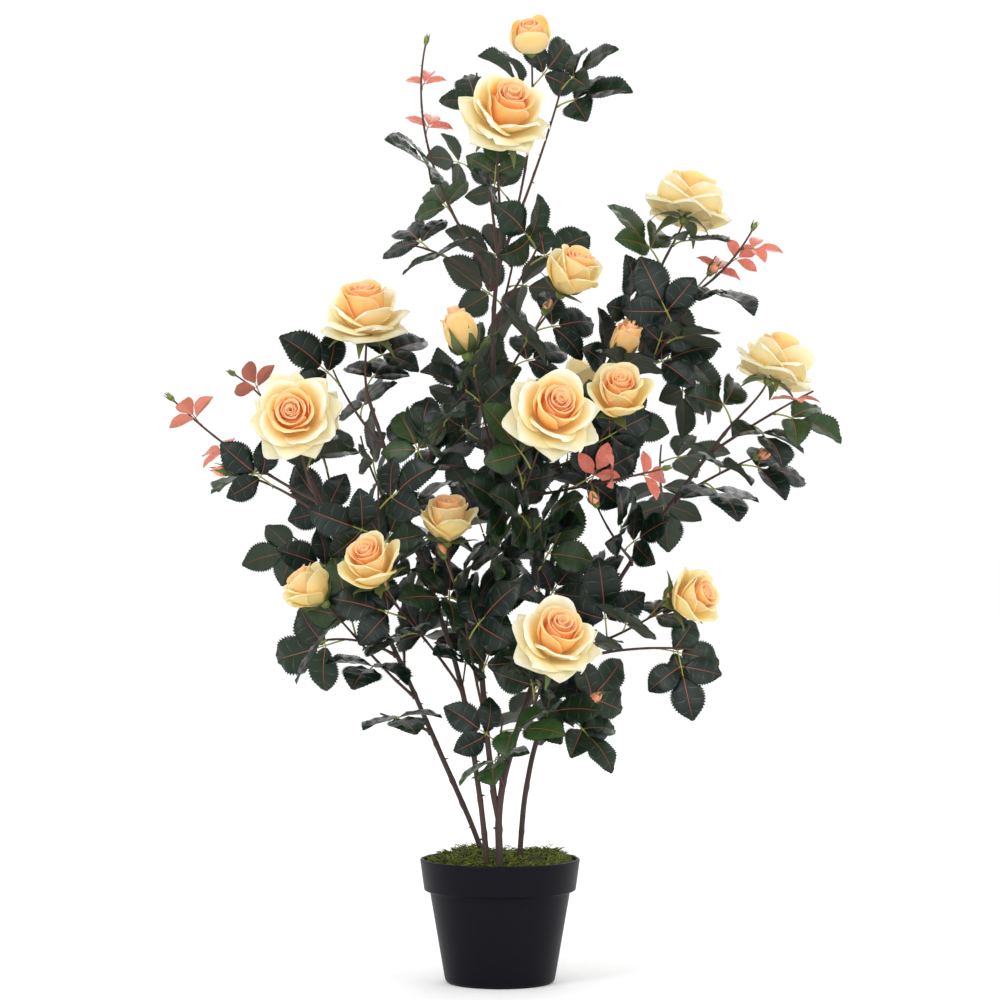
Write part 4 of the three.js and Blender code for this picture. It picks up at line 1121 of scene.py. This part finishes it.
# ---- pot
class ROSEBUSH_OT_pot(bpy.types.Operator):
    """Turn the tapered pot with its rim band"""

    bl_idname = "rosebush.pot"
    bl_label = "Pot"

    def execute(self, context):
        sides = context.scene.rose_bush_sizes.pot_sides
        profile = [
            (FOOT_RADIUS + 3, 0), (BODY_LOW_RADIUS - 3.2, 1.1),
            (BODY_LOW_RADIUS - 1, 3.4), (BODY_LOW_RADIUS, 7.5),
            (BODY_TOP_RADIUS - 0.4, BAND_FOOT - 7), (BODY_TOP_RADIUS, BAND_FOOT - 4.4),
            (BODY_TOP_RADIUS + 1, BAND_FOOT - 2.6), (BAND_LOW_RADIUS - 1.4, BAND_FOOT - 1.6),
            (BAND_LOW_RADIUS - 0.2, BAND_FOOT - 0.8), (BAND_LOW_RADIUS + 0.2, BAND_FOOT + 0.8),
            (BAND_TOP_RADIUS - 0.4, POT_HEIGHT - 3.4), (BAND_TOP_RADIUS - 0.1, POT_HEIGHT - 2),
            (BAND_TOP_RADIUS - 0.7, POT_HEIGHT - 0.6), (BAND_TOP_RADIUS - 1.9, POT_HEIGHT),
            (BAND_TOP_RADIUS - 3.4, POT_HEIGHT - 0.2), (BAND_TOP_RADIUS - 4.3, POT_HEIGHT - 1.4),
            (BAND_LOW_RADIUS - POT_WALL, BAND_FOOT + 3), (BODY_TOP_RADIUS - POT_WALL, BAND_FOOT - 5),
            (BODY_LOW_RADIUS - POT_WALL, 9), (FOOT_RADIUS, 3.2),
        ]
        bpy.ops.object.select_all(action="DESELECT")
        bpy.ops.mesh.primitive_circle_add(vertices=sides, radius=profile[0][0] * MM, location=(0, 0, 0))
        pot = context.object
        pot.name = pot.data.name = "pot_shell"
        bpy.ops.object.mode_set(mode="EDIT")
        bpy.ops.mesh.select_all(action="SELECT")
        for (radius, height), (next_radius, next_height) in zip(profile, profile[1:]):
            rise = (next_height - height) * MM
            bpy.ops.mesh.extrude_region_move(TRANSFORM_OT_translate={"value": (0, 0, rise)})
            widen = next_radius / radius
            bpy.ops.transform.resize(value=(widen, widen, 1), center_override=(0, 0, 0))
        bpy.ops.mesh.edge_face_add()
        bpy.ops.mesh.select_all(action="DESELECT")
        bpy.ops.object.mode_set(mode="OBJECT")
        for edge in pot.data.edges:
            edge.select = all(pot.data.vertices[v].co.z < 1e-6 for v in edge.vertices)
        bpy.ops.object.mode_set(mode="EDIT")
        bpy.ops.mesh.select_mode(type="EDGE")
        bpy.ops.mesh.edge_face_add()
        finish_editing()
        color = context.scene.rose_bush_colors.pot
        plastic = material("pot_plastic", color, 0.42, 900, 0.35, 0.12, **{"Specular IOR Level": 0.08})
        pot.data.materials.append(plastic)
        smooth(pot, 28)
        hand_in(pot, "pot_plastic", "pot")
        return {"FINISHED"}


# ---- moss
MOSS_TUFTS = 240
MOSS_SEED = 77
TUFT_REACH = 84
TUFT_RADIUS = 9
STRAND_REACH = 89
RIM_REACH = 91  # strands stay inside it up to the pot's rim
MOSS_EDGE_HEIGHT = 137
STRAND_STEPS = 3


def moss_height(x, y):
    """Height of the moss above the pot's underside: two humps, lower towards the front."""
    def hump(cx, cy, height, spread):
        return height * np.exp(-((x - cx) ** 2 + (y - cy) ** 2) / spread**2)

    ripple = 1.6 * np.sin(x / 6.5 + 1) * np.cos(y / 7.5) + 1.1 * np.sin((x + y) / 4.2)
    return 141 + 0.06 * y + hump(-34, 14, 17, 30) + hump(48, 12, 12, 38) + ripple


class ROSEBUSH_OT_moss(bpy.types.Operator):
    """Heap the moss bed and its curly strands on the pot"""

    bl_idname = "rosebush.moss"
    bl_label = "Moss"

    def execute(self, context):
        color = context.scene.rose_bush_colors.moss
        shades = [
            material("moss_green", color, 0.95, 500, 0.6),
            material("moss_olive", channels_scaled(color, 0.3, 0.28, 0.4), 0.95, 500, 0.6),
            material("moss_straw", channels_scaled(color, 2.1, 1.5, 1.5), 0.95, 500, 0.6),
        ]
        # The bed is far darker than the strands: painted shade in the gaps between them.
        bed = self.bed(material("moss_bed", channels_scaled(color, 0.4, 0.38, 0.45), 1.0, 240, 1.0, 0.5))
        strands = self.strands(context.scene.rose_bush_sizes.moss_strands, shades)
        for piece in (bed, strands):
            hand_in(piece, "moss", "moss_filling")
        return {"FINISHED"}

    def bed(self, painted_shade_material):
        """The mound: a grid drawn into a disc, raised, with its edge turned down inside the pot, coloured
        dark as painted shade.
        """
        radius = BAND_LOW_RADIUS + 0.6
        bpy.ops.object.select_all(action="DESELECT")
        bpy.ops.mesh.primitive_grid_add(x_subdivisions=64, y_subdivisions=64, size=2)
        bed = bpy.context.object
        bed.name = bed.data.name = "moss_bed"
        corners = np.zeros(len(bed.data.vertices) * 3)
        bed.data.vertices.foreach_get("co", corners)
        x, y, _ = corners.reshape(-1, 3).T
        x, y = x * np.sqrt(1 - y * y / 2) * radius, y * np.sqrt(1 - x * x / 2) * radius
        edge = np.clip((radius - np.hypot(x, y)) / 10, 0, 1)
        z = MOSS_EDGE_HEIGHT + (moss_height(x, y) - MOSS_EDGE_HEIGHT) * edge**0.5
        bed.data.vertices.foreach_set("co", (np.stack([x, y, z], axis=1) * MM).ravel())
        bpy.ops.object.mode_set(mode="EDIT")
        bpy.ops.mesh.select_all(action="SELECT")
        bpy.ops.mesh.region_to_loop()
        bpy.ops.mesh.extrude_region_move(TRANSFORM_OT_translate={"value": (0, 0, -0.018)})
        bpy.ops.transform.resize(value=(0.97, 0.97, 1), center_override=(0, 0, 0))
        bpy.ops.mesh.edge_face_add()
        finish_editing()
        bed.data.materials.append(painted_shade_material)
        smooth(bed, 60)
        return bed

    def strands(self, count, shades):
        """Short curling strands, in tufts, all over the mound."""
        random = dice(MOSS_SEED)
        heap = Heap()
        tufts = [(random() * ROUND, math.sqrt(random()), random()) for _ in range(MOSS_TUFTS)]
        for _ in range(count):
            angle, share, vigour = tufts[int(random() * len(tufts))]
            reach = share * TUFT_REACH
            heading = random() * ROUND
            spread = TUFT_RADIUS * math.sqrt(random())
            x = reach * math.cos(angle) + spread * math.cos(heading)
            y = reach * math.sin(angle) + spread * math.sin(heading)
            out = math.hypot(x, y)
            if out > STRAND_REACH:
                continue
            height = float(moss_height(np.float64(x), np.float64(y))) - 3 - max(0, out - 78) * 0.3
            rise = 0.25 + 1.0 * random()
            length = (7 + 8 * random()) * (0.7 + 0.7 * vigour**2)
            curl = (random() - 0.5) * 5.4
            path = []
            point = np.array([x, y, height])
            for _ in range(STRAND_STEPS + 1):
                path.append(point)
                level = math.cos(rise)
                step = np.array([math.cos(heading) * level, math.sin(heading) * level, math.sin(rise)])
                reach = np.hypot(*(point + step * length / STRAND_STEPS)[:2])
                if reach > RIM_REACH and point[2] < POT_HEIGHT:
                    step[:2] *= -0.3
                point = point + step * length / STRAND_STEPS
                heading += curl / STRAND_STEPS
                rise -= 0.45
            thickness = 0.5 + 0.4 * random()
            kind = 0 if random() < 0.55 else 1 if random() < 0.7 else 2
            tube(heap, path, thickness * np.array([1, 1, 0.75, 0.25]), 3, kind)
        return heap.build("moss_strands", shades)


# ---- bark
BARK_SEED = 31


def bark_relief(shares, sides, length, random):
    """Long ridges and knots: the radius of a cane in shares of its plain radius."""
    angles = 2 * math.pi * np.arange(sides) / sides
    at = shares[:, None] * length
    ridges = ((2, 31), (3, 17), (5, 9), (1, 23))
    relief = 1 + sum(0.03 * np.sin(angles * k + at / pace + random() * ROUND) for k, pace in ridges)
    knot = 26 + 20 * random()
    while knot < length - 10:
        swell = 0.16 + 0.16 * random()
        lean = random() * ROUND
        near = np.exp(-(((at - knot) / 3.4) ** 2))
        relief = relief + near * swell * (0.65 + 0.35 * np.cos(angles - lean))
        knot += 30 + 26 * random()
    return relief


def thorn(heap, root, out, along, size):
    """A hooked thorn or the stub of one."""
    bends = ((0.45, 0.02), (0.8, 0.15), (1, 0.4))
    path = [root - out * 0.8]
    path += [root + out * size * reach - along * size * hook for reach, hook in bends]
    tube(heap, path, [size * 0.34, size * 0.22, size * 0.1, size * 0.02], 5)


def stem(heap, course, radii, sides, spacing, random, thorn_spacing, thorn_size):
    """A cane or a shoot with bark relief and thorns."""
    count = max(6, math.ceil(course.length / spacing))
    frames = course.frames(count)
    shares = np.linspace(0, 1, count + 1)
    path = [course.at(share) for share in shares]
    plain = radii[0] + (radii[1] - radii[0]) * shares
    tube(heap, path, plain, sides, 0, frames, bark_relief(shares, sides, course.length, random))
    at = thorn_spacing * (0.4 + random())
    while at < course.length - 12:
        share = at / course.length
        tangent, normal, binormal = frames[round(share * count)]
        angle = random() * ROUND
        out = normal * math.cos(angle) + binormal * math.sin(angle)
        radius = radii[0] + (radii[1] - radii[0]) * share
        if course.at(share)[2] > POT_HEIGHT + 12:
            root = course.at(share) + out * radius * 0.9
            thorn(heap, root, out, tangent, thorn_size * (0.6 + 0.7 * random()))
        at += thorn_spacing * (0.5 + random())


class ROSEBUSH_OT_canes(bpy.types.Operator):
    """Grow the canes and the shoots with their bark and thorns"""

    bl_idname = "rosebush.canes"
    bl_label = "Canes and shoots"

    def execute(self, context):
        color = context.scene.rose_bush_colors.bark
        bark = material("bark", color, 0.62, 260, 0.8, 0.35)
        twig = material("twig_bark", channels_scaled(color, 1.25, 1.0, 0.9), 0.6, 300, 0.5, 0.25)
        random = dice(BARK_SEED)
        canes = Heap()
        for course, radii in plant()["canes"].values():
            stem(canes, course, radii, 12, 3.4, random, 34, 4.2)
        tube(canes, FORK, FORK_RADII, 12)
        hand_in(canes.build("cane_bark", [bark], 70), "bark", *CANES)
        twigs = Heap()
        for name, course in plant()["courses"].items():
            stem(twigs, course, SHOOT_RADII, 7, 5, random, 40, 2.6)
            self.collar(twigs, SHOOTS[name], course)
        for spray in plant()["sprays"]:
            self.twig(twigs, spray)
        hand_in(twigs.build("twigs", [twig], 70), "bark", *SHOOTS)
        return {"FINISHED"}

    def collar(self, heap, shoot, course):
        """The swollen joint between a shoot and its cane."""
        cane, _ = plant()["canes"][shoot["cane"]]
        foot, heading = course.at(0), course.heading(0)
        if shoot["height"] is None:
            path = [foot - heading * 5, foot - heading * 1.5, foot + heading * 2, foot + heading * 7]
        else:
            spots = np.array([cane.at(i / 400) for i in range(401)])
            inside = spots[np.linalg.norm(spots - foot, axis=1).argmin()]
            path = [inside - UP * 7, lerp(inside - UP * 3, foot, 0.6)]
            path += [foot + heading * 1.5, foot + heading * 7]
        tube(heap, path, [1.6, 2.6, 2.4, 1.8], 8)

    def twig(self, heap, spray):
        """The brown foot of a spray, from its stem to where its green stalk begins."""
        root, foot, out = spray["twig_root"], spray["foot"], spray["out"]
        reach = np.linalg.norm(foot - root)
        if reach < 3:
            tube(heap, [root, root + out * 3.2, root + out * 5], [1.5, 1.25, 0.95], 6)
            return
        sag = np.array([0, 0, -0.05 * reach])
        path = [root, lerp(root, foot, 0.35) + sag, lerp(root, foot, 0.7) + sag * 0.7, foot + out]
        tube(heap, path, [1.3, 1.1, 1.05, 1.25], 6)


# ---- foliage
# Each green's name, and the share of the sprays that are of it or of one before it.
TINT_SHARES = (("dark", 0.56), ("mid", 0.86), ("fresh", 1))
LEAF_SEED = 7001


class ROSEBUSH_OT_leaves(bpy.types.Operator):
    """Hang the sprays of toothed leaves on the shoots"""

    bl_idname = "rosebush.leaves"
    bl_label = "Leaves"

    def execute(self, context):
        colors = context.scene.rose_bush_colors
        full = LeafPattern(8, 2, 0.07, 0.055, 0.013)
        small = LeafPattern(6, 2, 0.03, 0.035, 0.018)
        heaps = {tint: Heap() for tint in ("dark", "mid", "fresh", "young")}
        stalks = Heap()
        random = dice(LEAF_SEED)
        for spray in plant()["sprays"]:
            draw = random()
            is_red = spray["red"]
            tint = "young" if is_red else next(tint for tint, share in TINT_SHARES if draw < share)
            pattern = small if is_red else full
            arch = spray["normal"] * 2.2 * spray["scale"]
            self.stalk(stalks, spray, arch, int(is_red))
            for number, leaflet in enumerate(spray["leaflets"]):
                lift = arch * (math.sin(math.pi * SIDE_LEAFLET_AT) if number else 0.0)
                root = leaflet["root"] + lift + leaflet["along"] * (3 if number else 1.2)
                droop = 0.35 + 0.65 * random()
                fold = -0.06 + 0.5 * random() ** 1.6
                wave = 0.03 + 0.05 * random()
                sway = (random() - 0.5) * 0.24
                width = leaflet["width"]
                if is_red:
                    width *= 0.8
                    fold += 0.25
                leaflet = {**leaflet, "root": root, "width": width}
                heaps[tint].add(pattern.laid(leaflet, droop, fold, wave, sway), pattern.net)
        old_parts = [
            material("leaf_underside", srgb(40, 54, 36), 0.6, 500, 0.8, 0.3),
            material("leaf_rib", srgb(158, 76, 50), 0.5, 700, 0.2),
            material("leaf_vein", srgb(58, 74, 54), 0.5, 700, 0.2),
        ]
        young_parts = [
            material("young_leaf_underside", srgb(214, 128, 108), 0.7, 900, 0.4),
            material("young_leaf_rib", srgb(186, 140, 84), 0.5, 700, 0.2),
            material("young_leaf_vein", srgb(226, 160, 134), 0.5, 700, 0.2),
        ]
        for tint, heap in heaps.items():
            color = getattr(colors, f"{tint}_leaf")
            top = material(f"leaf_{tint}", color, 0.3, 700, 0.5, 0.2, **{"Specular IOR Level": 0.3})
            parts = young_parts if tint == "young" else old_parts
            hand_in(heap.build(f"leaves_{tint}", [top, *parts]), "foliage", *SHOOTS)
        green = material("leaf_stalk", colors.stalk, 0.55, 300, 0.3)
        red = material("young_stalk", srgb(150, 100, 60), 0.55, 300, 0.3)
        hand_in(stalks.build("leaf_stalks", [green, red], 70), "foliage", *SHOOTS)
        return {"FINISHED"}

    def stalk(self, heap, spray, arch, kind):
        """The green stalk of a spray and the short ones of its side leaflets."""
        scale = max(spray["scale"], 0.7)
        shares = (0.08, 0.3, 0.5, SIDE_LEAFLET_AT, 0.85, 1.03)
        path = [lerp(spray["foot"], spray["end"], s) + arch * math.sin(math.pi * min(s, 1)) for s in shares]
        tube(heap, path, np.array([1.15, 1.0, 0.95, 0.95, 0.8, 0.7]) * scale, 6, kind)
        for leaflet in spray["leaflets"][1:]:
            root = leaflet["root"] + arch * math.sin(math.pi * SIDE_LEAFLET_AT)
            path = [root, root + leaflet["along"] * 2, root + leaflet["along"] * 5]
            tube(heap, path, np.array([0.75, 0.65, 0.5]) * scale, 5, kind)


# ---- roses and buds
SMALLEST_PETAL_BUD = 12
LARGEST_GREEN_BUD = 5
SEPAL_THICKNESS = 0.0005
# The profile of a hip in shares of its radius, and of a green bud's foot and body in shares of the bud's.
HIP_RADIUS = {"open": 0.11, "cup": 0.19, "bud": 0.36, "plump": 0.34}
HIP = [(0, -1.5), (0.45, -1.42), (0.82, -1.05), (1, -0.45), (0.95, 0.1), (0.6, 0.42), (0, 0.5)]
GREEN_BUD_FOOT = [(0, -0.3), (0.45, -0.1), (0.6, 0.35), (0.5, 0.75), (0, 0.8)]
GREEN_BUD = [(0, 0.6), (0.55, 0.7), (0.86, 1.3), (0.72, 2.0), (0.3, 2.7), (0, 2.9)]


def calyx(sepals, green, form, size, seat, axis, seed):
    """The five sepals and the hip under a flower."""
    random = dice(seed)
    place = stood_at(seat, axis, size, random() * ROUND)
    for i in range(5):
        sepal(sepals, form, 2 * math.pi * (i + 0.3 * random()) / 5, place, random)
    hip = HIP_RADIUS[form]
    lathe(green, [(hip * r, hip * z) for r, z in HIP], 14, place)


def green_bud(sepals, green, radius, seat, axis, seed):
    """A small bud still closed in its sepals."""
    random = dice(seed)
    place = stood_at(seat, axis, radius, random() * ROUND)
    lathe(green, GREEN_BUD_FOOT, 8, place)
    lathe(green, GREEN_BUD, 8, place, 2 if radius > LARGEST_GREEN_BUD else 0)
    for i in range(5):
        sepal(sepals, "green", 2 * math.pi * i / 5, place, random)


def side_bud(sepals, green, course, share, seed):
    """The small bud beside a shoot, on a stalk of its own."""
    foot = course.at(share)
    sideways = np.array([np.sign(foot[0]), -0.6, 0]) * 0.45
    axis = unit(course.heading(share) + UP + sideways)
    tip = foot + axis * SIDE_BUD_STALK
    tube(green, [foot, lerp(foot, tip, 0.5), tip], [1.2, 1.05, 1.1], 6, 1)
    green_bud(sepals, green, SIDE_BUD_RADIUS, tip - axis, axis, seed)


def thicken(piece, thickness):
    """Gives petals or sepals the thickness of their cloth, half to each side."""
    only(piece)
    cloth = piece.modifiers.new("cloth", "SOLIDIFY")
    cloth.thickness = thickness
    cloth.offset = 0
    bpy.ops.object.modifier_apply(modifier=cloth.name)
    smooth(piece, 60)


class ROSEBUSH_OT_roses(bpy.types.Operator):
    """Shape the open roses, the half-open ones and the buds"""

    bl_idname = "rosebush.roses"
    bl_label = "Roses and buds"

    def execute(self, context):
        thickness = context.scene.rose_bush_sizes.petal_thickness
        silk = petal_material()
        sepals, green = Heap(), Heap()
        for name, shoot in SHOOTS.items():
            course = plant()["courses"][name]
            seat, axis = course.at(1) - course.heading(1), course.heading(1)
            form, size, seed = shoot["form"], shoot["bud"], shoot["seed"]
            if form:
                size, axis = shoot["size"], shoot["faces"]
            elif size >= SMALLEST_PETAL_BUD:
                form = "plump" if name == "bud_top" else "bud"
            if form:
                heap = Heap()
                flower_petals(heap, form, size, seat, axis, 900 + seed)
                petals = heap.build(f"petals_{name}", [silk])
                thicken(petals, thickness)
                hand_in(petals, "petals", name)
                calyx(sepals, green, form, size, seat, axis, 1200 + seed)
            elif size:
                green_bud(sepals, green, size, seat, axis, 1500 + seed)
            if shoot["side_bud"]:
                side_bud(sepals, green, course, shoot["side_bud"], 1500 + seed)
        flowering = [name for name, shoot in SHOOTS.items() if shoot["form"] or shoot["bud"]]
        sepal_green = material("sepal_green", srgb(84, 98, 50), 0.6, 600, 0.6, 0.3)
        sepals = sepals.build("sepals", [sepal_green])
        thicken(sepals, SEPAL_THICKNESS)
        hand_in(sepals, "foliage", *flowering)
        finishes = [
            material("bud_green", srgb(108, 122, 54), 0.5, 600, 0.3),
            material("bud_stalk", srgb(112, 92, 56), 0.6, 400, 0.3),
            material("bud_peach", srgb(236, 150, 112), 0.55, 600, 0.3),
        ]
        hand_in(green.build("hips_and_buds", finishes, 50), "foliage", *flowering)
        return {"FINISHED"}


# ---- stage
CAMERA_AWAY = 4.0
CAMERA_HEIGHT = 0.572
VIEW_WIDTH = 1.187  # metres across the picture, in the plane of the canes
LAMPS_AIM_AT = np.array([0, 0, 0.6])
# Name, place in metres, size in metres and power in watts.
LAMPS = (
    ("key_light", (-2.2, -3.0, 3.2), 1.2, 46),
    ("fill_light", (2.8, -2.4, 1.8), 1.4, 20),
    ("front_light", (0.2, -4.4, 1.5), 1.2, 26),
    ("back_light", (0.6, 3.0, 2.8), 2.4, 30),
)


class ROSEBUSH_OT_stage(bpy.types.Operator):
    """Set the pale floor, the soft studio light and the camera"""

    bl_idname = "rosebush.stage"
    bl_label = "Stage"

    def execute(self, context):
        bpy.ops.object.select_all(action="DESELECT")
        bpy.ops.mesh.primitive_plane_add(size=60, location=(0, 0, 0))
        floor = context.object
        floor.name = "floor"
        pale = material("floor_pale", (0.98, 0.98, 0.98, 1), 1.0, **{"Specular IOR Level": 0})
        floor.data.materials.append(pale)
        for lamp in LAMPS:
            self.lamp(*lamp)
        world = bpy.data.worlds.new("studio")
        world.use_nodes = True
        background = world.node_tree.nodes["Background"]
        background.inputs["Color"].default_value = (1, 1, 1, 1)
        background.inputs["Strength"].default_value = 1.03
        context.scene.world = world
        context.scene.view_settings.view_transform = "Standard"
        lens = bpy.data.cameras.new("camera")
        lens.sensor_width = 36
        lens.lens = lens.sensor_width * CAMERA_AWAY / VIEW_WIDTH
        camera = bpy.data.objects.new("camera", lens)
        camera.location = (0, -CAMERA_AWAY, CAMERA_HEIGHT)
        camera.rotation_euler = (math.radians(90), 0, 0)
        context.scene.collection.objects.link(camera)
        context.scene.camera = camera
        return {"FINISHED"}

    def lamp(self, name, place, size, power):
        light = bpy.data.lights.new(name, "AREA")
        light.size = size
        light.energy = power
        lamp = bpy.data.objects.new(name, light)
        lamp.location = place
        aim = LAMPS_AIM_AT - np.array(place)
        tilt = math.atan2(math.hypot(aim[0], aim[1]), -aim[2])
        lamp.rotation_euler = (tilt, 0, math.atan2(aim[0], -aim[1]) + math.pi)
        bpy.context.scene.collection.objects.link(lamp)


# ---- panel
OPERATORS = (
    ROSEBUSH_OT_pot,
    ROSEBUSH_OT_moss,
    ROSEBUSH_OT_canes,
    ROSEBUSH_OT_leaves,
    ROSEBUSH_OT_roses,
    ROSEBUSH_OT_stage,
)


class ROSEBUSH_PT_panel(bpy.types.Panel):
    """Lists the pieces of the rose bush"""

    bl_idname = "ROSEBUSH_PT_panel"
    bl_label = "Rose Bush"
    bl_space_type = "VIEW_3D"
    bl_region_type = "UI"
    bl_category = "Rose Bush"

    def draw(self, context):
        for operator in OPERATORS:
            self.layout.operator(operator.bl_idname)
        for settings in (context.scene.rose_bush_sizes, context.scene.rose_bush_colors):
            for name in settings.__annotations__:
                self.layout.prop(settings, name)


CLASSES = (RoseBushSizes, RoseBushColors, *OPERATORS, ROSEBUSH_PT_panel)


def register():
    for cls in CLASSES:
        bpy.utils.register_class(cls)
    bpy.types.Scene.rose_bush_sizes = bpy.props.PointerProperty(type=RoseBushSizes)
    bpy.types.Scene.rose_bush_colors = bpy.props.PointerProperty(type=RoseBushColors)


def unregister():
    del bpy.types.Scene.rose_bush_colors
    del bpy.types.Scene.rose_bush_sizes
    for cls in reversed(CLASSES):
        bpy.utils.unregister_class(cls)


def main():
    register()
    bpy.ops.rosebush.pot()
    bpy.ops.rosebush.moss()
    bpy.ops.rosebush.canes()
    bpy.ops.rosebush.leaves()
    bpy.ops.rosebush.roses()
    bpy.ops.rosebush.stage()


if __name__ == "__main__":
    main()
